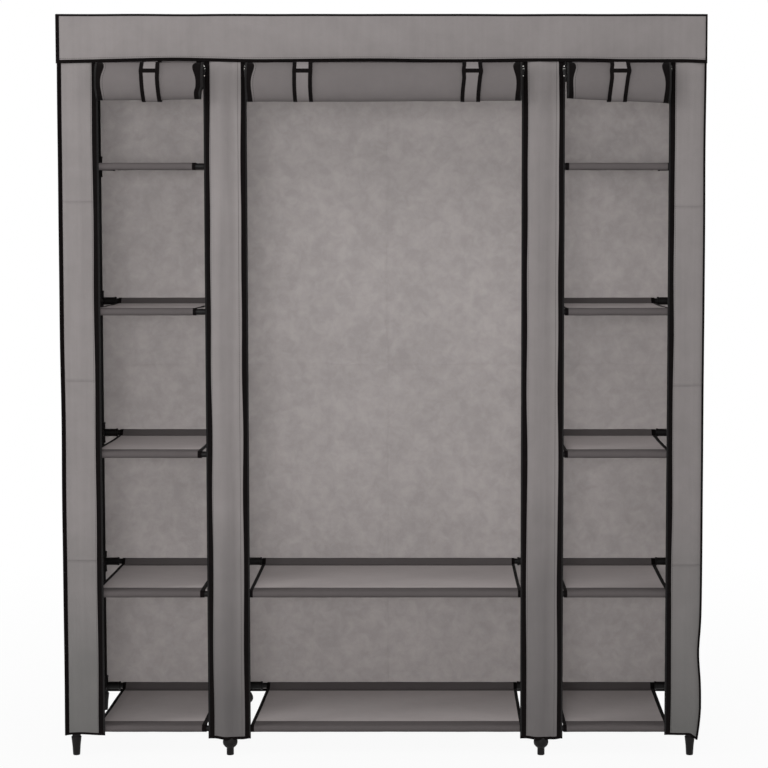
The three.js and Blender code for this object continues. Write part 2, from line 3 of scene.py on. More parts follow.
import bpy
import numpy as np
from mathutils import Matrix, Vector


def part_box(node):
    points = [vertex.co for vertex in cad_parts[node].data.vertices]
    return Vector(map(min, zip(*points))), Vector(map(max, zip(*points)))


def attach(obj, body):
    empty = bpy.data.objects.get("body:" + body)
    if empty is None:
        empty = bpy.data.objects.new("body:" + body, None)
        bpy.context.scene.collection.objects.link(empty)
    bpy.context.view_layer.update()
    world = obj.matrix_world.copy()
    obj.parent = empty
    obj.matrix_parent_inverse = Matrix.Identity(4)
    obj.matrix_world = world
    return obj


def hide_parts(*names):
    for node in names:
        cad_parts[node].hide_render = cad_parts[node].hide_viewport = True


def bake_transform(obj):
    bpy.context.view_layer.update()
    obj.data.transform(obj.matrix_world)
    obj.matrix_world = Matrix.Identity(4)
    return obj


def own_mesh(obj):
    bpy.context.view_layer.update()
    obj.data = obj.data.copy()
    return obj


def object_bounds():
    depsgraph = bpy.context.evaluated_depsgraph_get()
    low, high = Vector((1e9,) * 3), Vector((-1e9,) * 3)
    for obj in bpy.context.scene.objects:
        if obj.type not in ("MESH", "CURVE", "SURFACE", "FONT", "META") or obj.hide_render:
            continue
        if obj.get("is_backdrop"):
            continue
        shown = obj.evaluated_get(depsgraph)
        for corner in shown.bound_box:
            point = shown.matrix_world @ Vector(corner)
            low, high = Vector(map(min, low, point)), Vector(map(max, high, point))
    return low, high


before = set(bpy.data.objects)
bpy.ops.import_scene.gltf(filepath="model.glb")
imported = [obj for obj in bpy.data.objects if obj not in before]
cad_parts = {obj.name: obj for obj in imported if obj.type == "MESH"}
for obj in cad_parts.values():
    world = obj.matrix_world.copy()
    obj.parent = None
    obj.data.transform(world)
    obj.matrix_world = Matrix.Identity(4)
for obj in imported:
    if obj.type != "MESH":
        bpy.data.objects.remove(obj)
cad_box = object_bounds()

# Sizes in millimetres, as in the part's source. MM turns them into metres.
MM = 0.001
COLUMNS = (-726.0, -362.0, 374.0, 726.0)
LEVELS = (63.0, 385.0, 716.0, 1051.0, 1389.5, 1725.0)
TOP_LEVEL = LEVELS[-1]
FRONT_Y, BACK_Y, MIDDLE_Y = -184.0, 236.0, 26.0
TUBE, CONNECTOR = 7.0, 10.5
SLEEVE_HALF, SLEEVE_CROWN, ARM = 26.0, 11.0, 42.0
FRONT_CLOTH, BACK_CLOTH, SIDE_CLOTH, TOP_CLOTH = -195.4, 247.4, 749.1, 1736.9
VALANCE_Y, HEADER_BOTTOM, COVER_TOP = -199.8, 1689.9, 1734.0
VALANCE_BINDING, COVER_HEM, STRIP_HEM = 7.8, 5.5, 7.0
PIPING = 2.6
ROLL_CENTRE = (-223.4, 1584.0)
ROLL_OUTER, ROLL_CORE, ROLL_TURNS = (28.0, 44.4), (6.5, 19.0), 10
OPENINGS = {"left": (-656.1, -412.0), "middle": (-312.0, 324.0), "right": (424.0, 664.6)}

# Camera, at the photograph's place
camera = bpy.data.cameras.new("camera")
camera.lens = 99.1
camera.sensor_width = 36
camera.shift_x = -0.073
camera.shift_y = -0.075
viewer = bpy.data.objects.new("camera", camera)
viewer.location = (0.135, -5.107, 1.375)
viewer.rotation_euler = (math.radians(90 - 4.16), 0, 0)
bpy.context.scene.collection.objects.link(viewer)
bpy.context.scene.camera = viewer
bpy.context.scene.view_settings.view_transform = "Standard"

# Stitches, pressed folds and the painted shade that darkens the cover towards its lower ends, in millimetres
THREAD, STITCH_PITCH = (0.45, 0.75), 4.2
FOLD_WIDTH, FOLD_WAVER = 9.0, 6.0
LOW_SHADE_HEIGHTS = (600, 80)


class Nodes:
    """A material's nodes or the world's. An input is a number, a colour or the socket that it comes from."""

    def __init__(self, owner, shader):
        owner.use_nodes = True
        self.owner = owner
        self.tree = owner.node_tree
        self.shader = self.tree.nodes[shader]

    def feed(self, socket, value):
        if isinstance(value, bpy.types.NodeSocket):
            self.tree.links.new(value, socket)
        else:
            socket.default_value = (*value, 1) if socket.type == "RGBA" else value

    def add(self, kind, inputs=(), **settings):
        node = self.tree.nodes.new(kind)
        for key, value in settings.items():
            setattr(node, key, value)
        for key, value in dict(inputs).items():
            self.feed(node.inputs[key], value)
        return node

    def set(self, **values):
        for key, value in values.items():
            self.feed(self.shader.inputs[key.replace("_", " ")], value)
        return self.owner

    def stretch(self, scale):
        return self.add("ShaderNodeMapping", {"Vector": self.place, "Scale": scale}).outputs["Vector"]

    def noise(self, scale, detail, rough, source=None, distortion=0.0):
        inputs = {"Vector": source or self.place, "Scale": scale, "Detail": detail, "Roughness": rough}
        return self.add("ShaderNodeTexNoise", {**inputs, "Distortion": distortion}).outputs["Fac"]

    def cells(self, scale):
        inputs = {"Vector": self.place, "Scale": scale, "Smoothness": 0.35}
        return self.add("ShaderNodeTexVoronoi", inputs, feature="SMOOTH_F1").outputs["Distance"]

    def bands(self, scale, direction):
        inputs = {"Vector": self.place, "Scale": scale}
        return self.add("ShaderNodeTexWave", inputs, bands_direction=direction).outputs["Fac"]

    def math(self, operation, a, b=0.0, clamp=False):
        return self.add("ShaderNodeMath", {0: a, 1: b}, operation=operation, use_clamp=clamp).outputs[0]

    def spread(self, value, low, high, to_low=0.0, to_high=1.0):
        """A value carried from one range to another, and held at the range's ends."""
        ranges = zip(("From Min", "From Max", "To Min", "To Max"), (low, high, to_low, to_high))
        return self.add("ShaderNodeMapRange", {"Value": value, **dict(ranges)}).outputs["Result"]

    def blend(self, factor, a, b):
        return self.add("ShaderNodeMix", {"Factor": factor, 6: a, 7: b}, data_type="RGBA").outputs[2]

    def bump(self, height, distance, strength, under=None):
        inputs = {"Strength": strength, "Distance": distance, "Height": height}
        if under is not None:
            inputs["Normal"] = under
        return self.add("ShaderNodeBump", inputs).outputs["Normal"]

    def on_cut(self, lines):
        """Lines on the cut sheet: (U or V, place in mm, more) as (across it, along it, place in m, more)."""
        cut = self.add("ShaderNodeUVMap", uv_map="cut").outputs["UV"]
        u, v, _ = self.add("ShaderNodeSeparateXYZ", {0: cut}).outputs
        for way, place, *more in lines:
            across, along = (u, v) if way == "U" else (v, u)
            yield across, along, place * MM, *more

    def stitches(self, seams):
        """A mask of sewn lines: each seam is (U or V, its place on the cut sheet in mm)."""
        total = None
        for across, along, place in self.on_cut(seams):
            away = self.math("ABSOLUTE", self.math("SUBTRACT", across, place))
            line = self.spread(away, THREAD[0] * MM, THREAD[1] * MM, 1.0, 0.0)
            dash = self.math("FRACT", self.math("MULTIPLY", along, 1 / (STITCH_PITCH * MM)))
            dash = self.spread(self.math("ABSOLUTE", self.math("SUBTRACT", dash, 0.5)), 0.30, 0.40, 1.0, 0.0)
            line = self.math("MULTIPLY", line, dash)
            total = line if total is None else self.math("MAXIMUM", total, line)
        return total

    def pressed(self, folds):
        """A height of pressed fold lines: each is (U or V, its place on the cut sheet in mm, up or down)."""
        total = None
        for across, along, place, sign in self.on_cut(folds):
            source = self.add("ShaderNodeTexNoise", {"Scale": 7.0, "W": along}, noise_dimensions="1D")
            waver = source.outputs["Fac"]
            shift = self.math("MULTIPLY", self.math("SUBTRACT", waver, 0.5), FOLD_WAVER * MM)
            away = self.math("ABSOLUTE", self.math("SUBTRACT", self.math("ADD", across, shift), place))
            line = self.math("POWER", self.spread(away, 0.0, FOLD_WIDTH * MM, 1.0, 0.0), 2.0)
            line = self.math("MULTIPLY", line, self.spread(waver, 0.35, 0.6, 0.35 * sign, 1.0 * sign))
            total = line if total is None else self.math("ADD", total, line)
        return total

    def seen_itself(self):
        """1 for the camera's rays and those of reflections and clear pieces, and 0 for the rest."""
        ray = self.add("ShaderNodeLightPath").outputs
        near = self.math("MAXIMUM", ray["Is Camera Ray"], ray["Is Glossy Ray"])
        return self.math("MAXIMUM", near, ray["Is Transmission Ray"])


def material(name):
    nodes = Nodes(bpy.data.materials.new(name), "Principled BSDF")
    nodes.place = nodes.add("ShaderNodeTexCoord").outputs["Object"]
    return nodes


def tinted(colour, share):
    return tuple(c * share for c in colour)


def nonwoven(name, colour, cloud, contrast, streaks=0.0, seams=(), sheen=0.05, translucent=False, painted_low_shade=None,
             folds=()):
    """Nonwoven polypropylene cloth: pressed bond points, loose fibres and cloudy density."""
    m = material(name)
    clouds = m.noise(cloud, 6.0, 0.62, distortion=0.35)
    fibres = m.noise(900.0, 3.0, 0.7, m.stretch((1, 1, 0.35)))
    patch = m.noise(3.2, 3.0, 0.5)
    shade = m.math("MULTIPLY", m.spread(clouds, 0.36, 0.66), 0.62)
    shade = m.math("ADD", shade, m.math("MULTIPLY", m.spread(patch, 0.35, 0.65), 0.26))
    shade = m.math("ADD", shade, m.math("MULTIPLY", fibres, 0.12))
    if streaks:
        lines = m.spread(m.noise(60.0, 3.0, 0.6, m.stretch((1, 1, 0.03))), 0.35, 0.65)
        shade = m.math("ADD", m.math("MULTIPLY", shade, 1 - streaks), m.math("MULTIPLY", lines, streaks))
    base = m.blend(shade, tinted(colour, 1 - contrast), tinted(colour, 1 + contrast))
    normal = m.bump(m.noise(38.0, 5.0, 0.6), 0.0016, 0.5)
    normal = m.bump(fibres, 0.0002, 0.5, normal)
    normal = m.bump(m.cells(430.0), 0.00025, 0.6, normal)
    if folds:
        pressed = m.pressed(folds)
        # The pressed folds are also painted darker along their lines: painted shade in the creases.
        wear_and_shade = m.math("MULTIPLY", m.math("ABSOLUTE", pressed), 0.30, True)
        base = m.blend(wear_and_shade, base, tinted(colour, 0.80))
        normal = m.bump(pressed, 0.0022, 0.9, normal)
    # Painted shade: the colour darkens towards the bottom, from 600 mm down to 80 mm, standing in for the
    # light that falls off low down.
    if painted_low_shade:
        height = m.add("ShaderNodeSeparateXYZ", {0: m.place}).outputs[2]
        height = m.math("ADD", height, m.math("MULTIPLY", m.math("SUBTRACT", patch, 0.5), 0.5))
        low = m.spread(height, LOW_SHADE_HEIGHTS[0] * MM, LOW_SHADE_HEIGHTS[1] * MM, 0.0, 0.78)
        base = m.blend(low, base, tuple(c * share for c, share in zip(colour, painted_low_shade)))
    if seams:
        sewn = m.stitches(seams)
        base = m.blend(sewn, base, tinted(colour, 0.45))
        normal = m.bump(sewn, 0.0006, 0.7, normal)
    if translucent:
        m.set(Subsurface_Weight=1.0, Subsurface_Scale=0.004, Subsurface_Radius=(1, 1, 1))
    return m.set(Base_Color=base, Roughness=m.spread(clouds, 0.3, 0.7, 0.84, 0.95), Normal=normal,
                 Sheen_Weight=sheen, Sheen_Roughness=0.5, Sheen_Tint=(1.0, 0.90, 0.89),
                 Specular_IOR_Level=0.12)


def woven_black(name, colour):
    """Black woven tape: fine ribs across it, duller where it is rubbed."""
    m = material(name)
    rub = m.noise(70.0, 5.0, 0.65)
    base = m.blend(m.spread(rub, 0.45, 0.75), colour, tinted(colour, 2.1))
    ribs = m.math("ADD", m.bands(420.0, "Z"), m.bands(420.0, "X"))
    normal = m.bump(m.noise(160.0, 4.0, 0.6), 0.0005, 0.5, m.bump(ribs, 0.00022, 0.6))
    return m.set(Base_Color=base, Roughness=m.spread(rub, 0.3, 0.7, 0.55, 0.80), Normal=normal,
                 Sheen_Weight=0.012, Specular_IOR_Level=0.04)


def hard(name, wear, wear_and_shade, dark, light, rough, relief, depth, strength, **more):
    """A painted, moulded or plated surface: wear is its noise, and worn the part of it that turns light."""
    m = material(name)
    rub = m.noise(*wear)
    return m.set(Base_Color=m.blend(m.spread(rub, *wear_and_shade), dark, light),
                 Roughness=m.spread(rub, 0.3, 0.7, *rough),
                 Normal=m.bump(relief(m) if relief else rub, depth, strength), **more)


def painted_steel(name):
    return hard(name, (46.0, 6.0, 0.65), (0.55, 0.8), (0.0050, 0.0042, 0.0042), (0.0095, 0.0085, 0.0080),
                (0.36, 0.52), lambda m: m.noise(1500.0, 2.0, 0.5), 0.00012, 0.5, Specular_IOR_Level=0.14)


# How far the stitches are from the edge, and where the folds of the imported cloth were, in millimetres
ZIP_SEAM, OTHER_ZIP_SEAM, VALANCE_SEAM, PANEL_SEAM = 16.4, 83.6, 10.6, 9.8
TOP_FOLDS = [("U", place, (-1) ** (n + 1)) for n, place in enumerate((187, 374, 562, 749, 936, 1124, 1311))]
SIDE_FOLDS = [("V", 420, 1), ("V", 840, -1), ("V", 1260, 1), ("U", 312, 1)]
PANEL_FOLDS = [("V", 845, 0.4), ("U", 374, 0.4), ("U", 749, -0.5), ("U", 1122, 0.4)]

GREY = (0.262, 0.240, 0.237)
cover_cloth = nonwoven("cover_cloth", GREY, 15.0, 0.10, 0.25, [("V", VALANCE_SEAM)])
top_cloth = nonwoven("top_cloth", GREY, 15.0, 0.10, folds=[*TOP_FOLDS, ("V", 226, 1)])
# The side and strip cloths carry painted shade towards the bottom: these shares give the darker colour it
# blends towards.
side_cloth = nonwoven("side_cloth", GREY, 15.0, 0.10, 0.35, [("U", ZIP_SEAM)], painted_low_shade=(0.50, 0.555, 0.54),
                      folds=SIDE_FOLDS)
strip_cloth = nonwoven("strip_cloth", GREY, 15.0, 0.10, 0.35, [("U", ZIP_SEAM), ("U", OTHER_ZIP_SEAM)],
                       painted_low_shade=(0.47, 0.485, 0.49))
# The back panel has the grey cloth painted lighter: painted light for the inside of the wardrobe, which the
# lamps reach less. It is also made translucent.
panel_cloth = nonwoven("panel_cloth", (0.375, 0.346, 0.340), 34.0, 0.13, seams=[("V", PANEL_SEAM)],
                       translucent=True, folds=PANEL_FOLDS)
# The shelves have the grey cloth painted lighter: painted light for their tops, which the lamps reach only at
# a grazing angle.
shelf_cloth = nonwoven("shelf_cloth", (0.430, 0.394, 0.389), 30.0, 0.05, sheen=0.30)
# The shelves' hems and the sleeves round their rails have the cloth painted much darker: painted shade for
# bands that turn away from the light.
shelf_hem = nonwoven("shelf_hem", (0.112, 0.099, 0.099), 30.0, 0.05)
# The rolled doors have the grey cloth painted darker: painted shade for the roll, whose lower side turns away
# from the light.
door_cloth = nonwoven("door_cloth", (0.166, 0.150, 0.149), 26.0, 0.055, 0.2, [("U", ZIP_SEAM)])
strap_cloth = nonwoven("strap_cloth", (0.200, 0.181, 0.180), 40.0, 0.06, 0.5)
strap_light = nonwoven("strap_light", (0.245, 0.224, 0.222), 60.0, 0.08)
binding = woven_black("binding", (0.0036, 0.0026, 0.0026))
# About one band of the wave texture for each tooth
TOOTH_PITCH = 2.4
teeth = hard("zip_teeth", (240.0, 4.0, 0.6), (0.5, 0.8), (0.0060, 0.0050, 0.0050), (0.016, 0.015, 0.015),
             (0.38, 0.55), lambda m: m.bands(2000 / 6.283 / TOOTH_PITCH, "Z"), 0.0011, 0.9,
             Specular_IOR_Level=0.18)
steel = painted_steel("frame_steel")
plastic = hard("frame_plastic", (30.0, 4.0, 0.55), (0.4, 0.7), (0.0055, 0.0046, 0.0046),
               (0.0095, 0.0085, 0.0082), (0.48, 0.62), lambda m: m.cells(1300.0), 0.0002, 0.6,
               Specular_IOR_Level=0.14)
slider_black = painted_steel("slider_black")
nickel = hard("slider_nickel", (700.0, 4.0, 0.6), (0.35, 0.7), (0.52, 0.50, 0.47), (0.72, 0.70, 0.66),
              (0.22, 0.4), None, 0.0001, 0.5, Metallic=1.0)


# Shapes. A cloth piece's faces are marked with its materials: its cloth, its black binding and its third one.
CLOTH, BOUND, THIRD = 0, 1, 2


class Shape:
    """Corners and faces, gathered into one mesh. Maps are the corners' places on the cut sheet."""

    def __init__(self):
        self.corners, self.faces, self.slots, self.maps = [], [], [], []
        self.count = 0

    def add(self, corners, faces, slots, maps=None):
        self.corners.append(corners)
        self.maps.append(np.zeros((len(corners), 2)) if maps is None else maps)
        self.faces += [tuple(int(i) + self.count for i in face) for face in faces]
        self.slots += [slots] * len(faces) if np.isscalar(slots) else [int(s) for s in slots]
        self.count += len(corners)

    def make(self, name, materials, body, *nodes, slot=None):
        mesh = bpy.data.meshes.new(name)
        mesh.from_pydata([tuple(c) for c in np.concatenate(self.corners) * MM], [], self.faces)
        for material in materials:
            mesh.materials.append(material)
        mesh.polygons.foreach_set("material_index", self.slots)
        mesh.polygons.foreach_set("use_smooth", [True] * len(mesh.polygons))
        layer = mesh.uv_layers.new(name="cut")
        which = np.zeros(len(mesh.loops), int)
        mesh.loops.foreach_get("vertex_index", which)
        layer.data.foreach_set("uv", (np.concatenate(self.maps) * MM)[which].ravel())
        mesh.update()
        mesh.set_sharp_from_angle(angle=math.radians(38))
        piece = bpy.data.objects.new(name, mesh)
        bpy.context.scene.collection.objects.link(piece)
        if body:
            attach(piece, body)
        if nodes:
            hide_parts(*nodes)
        return piece


def node_box(node):
    return [np.array(corner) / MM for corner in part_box(node)]


def unit(v):
    return v / np.maximum(np.linalg.norm(v, axis=-1, keepdims=True), 1e-9)


def points(x, y, z):
    return np.stack(np.broadcast_arrays(x, y, z), -1).astype(float)


def run_length(line):
    return np.concatenate([[0], np.cumsum(np.linalg.norm(np.diff(line, axis=0), axis=1))])


def slab(shape, x, y, z, thickness, slots, flip=False):
    """A sheet with real thickness from the grid of its middle surface. Slots are given for each face."""
    middle = points(x, y, z)
    rows, columns = middle.shape[:2]
    normal = unit(np.cross(np.gradient(middle, axis=0), np.gradient(middle, axis=1)))
    if flip:
        normal = -normal
    half = normal * (np.broadcast_to(thickness, (rows, columns))[..., None] / 2)
    corners = np.concatenate([(middle + half).reshape(-1, 3), (middle - half).reshape(-1, 3)])
    cut = np.meshgrid(run_length(middle[rows // 2]), run_length(middle[:, columns // 2]))
    maps = np.stack(cut, -1).reshape(-1, 2)
    slots = np.broadcast_to(slots, (rows - 1, columns - 1))
    offset = rows * columns
    faces, marks = [], []

    def rim(i, j, step, turned, slot):
        a, b = i * columns + j, i * columns + j + step
        a, b = (b, a) if turned else (a, b)
        faces.append((a, b, offset + b, offset + a) if flip else (a, offset + a, offset + b, b))
        marks.append(slot)

    for i in range(rows - 1):
        for j in range(columns - 1):
            a, d = i * columns + j, i * columns + j + 1
            b, c = a + columns, d + columns
            front, back = (a, b, c, d), (offset + a, offset + d, offset + c, offset + b)
            faces.extend((face[0], *face[:0:-1]) if flip else face for face in (front, back))
            marks.extend([slots[i, j]] * 2)
    for i in range(rows - 1):
        for j, turned in ((0, False), (columns - 1, True)):
            rim(i, j, columns, turned, slots[i, min(j, columns - 2)])
    for j in range(columns - 1):
        for i, turned in ((0, True), (rows - 1, False)):
            rim(i, j, 1, turned, slots[min(i, rows - 2), j])
    shape.add(corners, faces, marks, np.concatenate([maps, maps]))


def skin(shape, rings, slot):
    """A closed skin over rings of corners, capped at both ends."""
    sides = len(rings[0])
    faces = [(k * sides + j, k * sides + (j + 1) % sides, (k + 1) * sides + (j + 1) % sides,
              (k + 1) * sides + j) for k in range(len(rings) - 1) for j in range(sides)]
    faces += [tuple(range(sides))[::-1], tuple((len(rings) - 1) * sides + j for j in range(sides))]
    shape.add(np.concatenate(rings), faces, slot)


def circle(sides, a, b):
    turn = np.linspace(0, 2 * np.pi, sides, endpoint=False)[:, None]
    return np.cos(turn) * a + np.sin(turn) * b


def sideways(axis):
    return np.cross(axis, (0, 0, 1) if abs(axis[2]) < 0.9 else (1, 0, 0))


def tube(shape, path, radius, sides, slot=0):
    path = np.asarray(path, float)
    forward = unit(np.gradient(path, axis=0))
    side = sideways(forward[0])
    rings = []
    for point, way in zip(path, forward):
        side = unit(side - way * np.dot(side, way))
        rings.append(point + radius * circle(sides, side, np.cross(way, side)))
    skin(shape, rings, slot)


def piping(shape, x, y, z):
    tube(shape, points(x, y, z), PIPING, 14, slot=1)


def lathe(shape, profile, base, axis, sides=28, slot=0):
    """A turned form: profile is (distance along the axis, radius), from a base point."""
    base, axis = np.asarray(base, float), np.asarray(axis, float)
    side = unit(sideways(axis))
    ring = circle(sides, side, np.cross(axis, side))
    skin(shape, [base + axis * along + radius * ring for along, radius in profile], slot)


def plate(shape, outline, near, far, bevel):
    """A flat piece in X and Z between two depths, with chamfered rims."""
    centre = outline.mean(axis=0)
    small = centre + (outline - centre) * (1 - bevel / np.abs(outline - centre).max())
    rings = [(small, near), (outline, near + bevel), (outline, far - bevel), (small, far)]
    skin(shape, [points(ring[:, 0], y, ring[:, 1]) for ring, y in rings], 0)


def ripple(u, v, size, seed, count=9):
    """Smooth seeded undulation between about -1 and 1, with folds of about one size, in millimetres."""
    draw = np.random.default_rng(seed)
    total = 0.0
    for _ in range(count):
        turn = draw.uniform(0, 2 * np.pi)
        wave = 2 * np.pi / (size * draw.uniform(0.6, 1.7))
        total = total + np.sin(wave * (np.cos(turn) * u + np.sin(turn) * v) + draw.uniform(0, 2 * np.pi))
    return total / math.sqrt(count) * 0.75


def wander(run, seed, size=420.0):
    return ripple(run, run * 0, size, seed)


def crease(u, v, start, end, width):
    """One pressed line from start to end, which fades at both ends."""
    start, end = np.asarray(start, float), np.asarray(end, float)
    run = end - start
    share = ((u - start[0]) * run[0] + (v - start[1]) * run[1]) / run.dot(run)
    away = ((u - start[0]) * run[1] - (v - start[1]) * run[0]) / np.linalg.norm(run)
    return np.exp(-(away / width) ** 2) * np.clip(np.sin(np.pi * np.clip(share, 0, 1)), 0, 1)


def swell(z):
    """How far loose cloth stands out between the frame's levels, from 0 to 1."""
    out = np.zeros_like(z)
    for low, high in zip(LEVELS, LEVELS[1:]):
        inside = (z > low) & (z < high)
        out = np.where(inside, np.sin(np.pi * (z - low) / (high - low)), out)
    return out


def steps(*parts):
    """Places along a run: each part is (from, to, count), joined in order."""
    return np.concatenate([np.linspace(low, high, count + 1) for low, high, count in parts])


# Frame sides: uprights, feet, moulded connectors and the rails that run front to back
def moulding(shape, start, end, base, axis, closed=False):
    """One barrel of a connector with a raised rim at its open end, or at both."""
    rim, body = CONNECTOR, CONNECTOR - 0.7
    profile = [(start, TUBE), (start, rim - 0.5), (start + 0.5, rim), (start + 3.6, rim), (start + 4.4, body),
               (start + (end - start) / 2, body)]
    if closed:
        profile += [(end - 3.0, body), (end - 1.2, body - 0.5), (end - 0.2, body - 1.8), (end, body - 3.2)]
    else:
        profile += [(end - 4.4, body), (end - 3.6, rim), (end - 0.5, rim), (end, rim - 0.5), (end, TUBE)]
    lathe(shape, profile, base, axis, slot=1)


def arm(shape, hub, axis):
    """One socket of a connector, open at its end."""
    rim, bore = CONNECTOR, TUBE + 0.3
    profile = [(0, rim - 1.0), (ARM - 5.2, rim - 1.0), (ARM - 4.4, rim), (ARM - 0.6, rim), (ARM, rim - 0.6),
               (ARM, bore), (ARM - 3, bore)]
    lathe(shape, profile, hub, axis, slot=1)


# Feet, as shares of their height and radius
CUP = [(0, 0.45), (0.02, 0.49), (0.36, 0.49), (0.40, 0.53), (0.46, 0.74), (0.56, 0.93), (0.66, 0.995),
       (0.74, 1.0), (0.84, 0.93), (0.93, 0.82), (1.0, 0.74)]
TAPER = [(0, 0.64), (0.03, 0.70), (0.5, 0.80), (0.92, 0.97), (0.97, 1.0), (1.0, 0.98)]
FOOT_HEIGHT, CUP_RADIUS, TAPER_RADIUS = 44.0, 17.5, 12.0


def frame_side(name, column, arms, top_rail_end=None):
    x = COLUMNS[column]
    shape = Shape()
    profile, radius = (CUP, CUP_RADIUS) if name.endswith("inner") else (TAPER, TAPER_RADIUS)
    for y, inward in ((FRONT_Y, 1), (BACK_Y, -1)):
        lathe(shape, [(up * FOOT_HEIGHT, out * radius) for up, out in profile], (x, y, 0), (0, 0, 1), slot=1)
        tube(shape, [(x, y, FOOT_HEIGHT / 2), (x, y, TOP_LEVEL)], TUBE, 28)
        for level in LEVELS:
            top = level == TOP_LEVEL
            moulding(shape, -SLEEVE_HALF, SLEEVE_CROWN if top else SLEEVE_HALF, (x, y, level), (0, 0, 1), top)
            arm(shape, (x, y, level), (0, inward, 0))
    for level in LEVELS:
        tube(shape, [(x, FRONT_Y, level), (x, BACK_Y, level)], TUBE, 28)
    for side, y, level in arms:
        arm(shape, (x, y, level), (side, 0, 0))
        if y == MIDDLE_Y:
            moulding(shape, -SLEEVE_HALF, SLEEVE_HALF, (x, y, level), (0, 1, 0))
    if top_rail_end is not None:
        for y in (FRONT_Y, BACK_Y):
            tube(shape, [(x, y, TOP_LEVEL), (top_rail_end, y, TOP_LEVEL)], TUBE, 28)
    shape.make(f"{name}_dressed", [steel, plastic], "wardrobe", name, slot="frame_black")


def arms_at(side, heights):
    return [(side, y, z) for z in heights for y in (FRONT_Y, BACK_Y)]


def inner_arms(outwards):
    """All the levels of the side bay, the middle bay's two shelves and its top, and the hanging rail."""
    middle = arms_at(-outwards, (*LEVELS[:2], TOP_LEVEL))
    return arms_at(outwards, LEVELS) + middle + [(-outwards, MIDDLE_Y, TOP_LEVEL)]


frame_side("frame_side_left_outer", 0, arms_at(1, LEVELS), -382.3)
frame_side("frame_side_left_inner", 1, inner_arms(-1), 353.7)
frame_side("frame_side_right_inner", 2, inner_arms(1))
frame_side("frame_side_right_outer", 3, arms_at(-1, LEVELS), 394.3)

# Rails along the width
for node in sorted(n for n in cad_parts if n.startswith("rail_") or n == "hanging_rail"):
    lowest, highest = node_box(node)
    y, z = ((lowest + highest) / 2)[1:]
    length = highest[0] - lowest[0]
    shape = Shape()
    lathe(shape, [(0, TUBE - 1.2), (0, TUBE - 0.5), (0.5, TUBE), (length - 0.5, TUBE), (length, TUBE - 0.5),
                  (length, TUBE - 1.2)], (lowest[0], y, z), (1, 0, 0))
    shape.make(f"{node}_dressed", [steel], "wardrobe", node, slot="frame_black")


# Cloth shelves: a web between two sleeves, with black bindings down both side edges
SLEEVE_MID = 7.9
SLEEVE_TOP = 8.5
SEAM = (17.0, 6.7)
SIDE_BINDING, BINDING_THICK = 8.0, 1.3
WEB_FALL = 13.2
SHELF_SAG = 2.6


def shelf_profile():
    """Depths and heights from the front seam round the front rail, back to the rear rail and round it."""
    reach = math.hypot(*SEAM)
    leave = math.atan2(SEAM[1], SEAM[0]) - math.acos(SLEEVE_MID / reach)
    loop = [SEAM] + [(SLEEVE_MID * math.cos(turn), SLEEVE_MID * math.sin(turn))
                     for turn in np.linspace(leave, -1.5 * math.pi, 18)]
    front = [(FRONT_Y + y, z) for y, z in loop]
    across = np.linspace(FRONT_Y, BACK_Y, 22)
    web = [(across[k], SLEEVE_MID - WEB_FALL * k / 21) for k in range(1, 21)]
    back = [(BACK_Y - y, -z) for y, z in loop][::-1]
    return np.array(front + web + back), len(front), len(front) + len(web)


profile, web_from, web_to = shelf_profile()
# How far each side edge lies outside its mean place: left front, left back, right front, right back
LOOSE = {
    "shelf_left_1": (0, 0, 15, 15), "shelf_left_2": (0, -2, 13, 11), "shelf_left_3": (0, 0, 9, 9),
    "shelf_left_4": (0, 1, -1, 0), "shelf_middle_1": (4, -1, 2.5, 2), "shelf_middle_2": (5, 9, -3, -4),
    "shelf_right_1": (0, 0, 4, 12), "shelf_right_2": (0, 0, 3, 12), "shelf_right_3": (0, 0, 3, 10),
    "shelf_right_4": (0, 0, 2, 6),
}


def shelf(node, number):
    (x0, _, _), (x1, _, top) = node_box(node)
    centre, depth = (x0 + x1) / 2, BACK_Y - FRONT_Y
    inner = max(10, int((x1 - x0) / 22))
    places = steps((x0, x0 + SIDE_BINDING, 1), (x0 + SIDE_BINDING + 0.25, x1 - SIDE_BINDING - 0.25, inner),
                   (x1 - SIDE_BINDING, x1, 1))
    x, y = np.meshgrid(places, profile[:, 0])
    depth_share = np.clip((y - FRONT_Y) / depth, 0, 1)
    left_front, left_back, right_front, right_back = LOOSE.get(node, (0, 0, 0, 0))
    out_left = -(left_front + (left_back - left_front) * depth_share)
    out_right = right_front + (right_back - right_front) * depth_share
    share = (x - x0) / (x1 - x0)
    x = x + out_left * np.clip(1 - share * 5, 0, 1) + out_right * np.clip(share * 5 - 4, 0, 1)
    in_web = np.zeros((len(profile), 1), bool)
    in_web[web_from:web_to] = True
    sag = np.cos(np.pi * (y - (FRONT_Y + BACK_Y) / 2) / depth) ** 2
    edges = np.sin(np.pi * np.clip((x - x0) / (x1 - x0), 0, 1)) ** 0.5
    drop = -SHELF_SAG * sag * (0.35 + 0.65 * edges) + sag * (0.8 * ripple(x, y, 150, 11 + number))
    drop = drop + 0.9 * crease(x, y, (centre, FRONT_Y), (centre + 3, BACK_Y), 3.0) * (sag ** 0.25)
    hem = 0.22 * ripple(x, y * 0 + number, 70, 90 + number)
    z = top - SLEEVE_TOP + profile[:, 1:] + np.where(in_web, drop, hem)
    thickness = np.full(len(places), 1.0)
    thickness[[0, 1, -2, -1]] = BINDING_THICK
    slots = np.full((len(profile) - 1, len(places) - 1), CLOTH)
    slots[:web_from + 1] = slots[web_to - 2:] = THIRD
    slots[:, 0] = slots[:, -1] = BOUND
    shape = Shape()
    slab(shape, x, y, z, thickness, slots)
    piece = shape.make(f"{node}_cloth", [shelf_cloth, binding, shelf_hem], "wardrobe", node,
                       slot="shelf_cloth")
    bay, level = node.split("_")[1:]
    run_length(profile)[-1] * MM


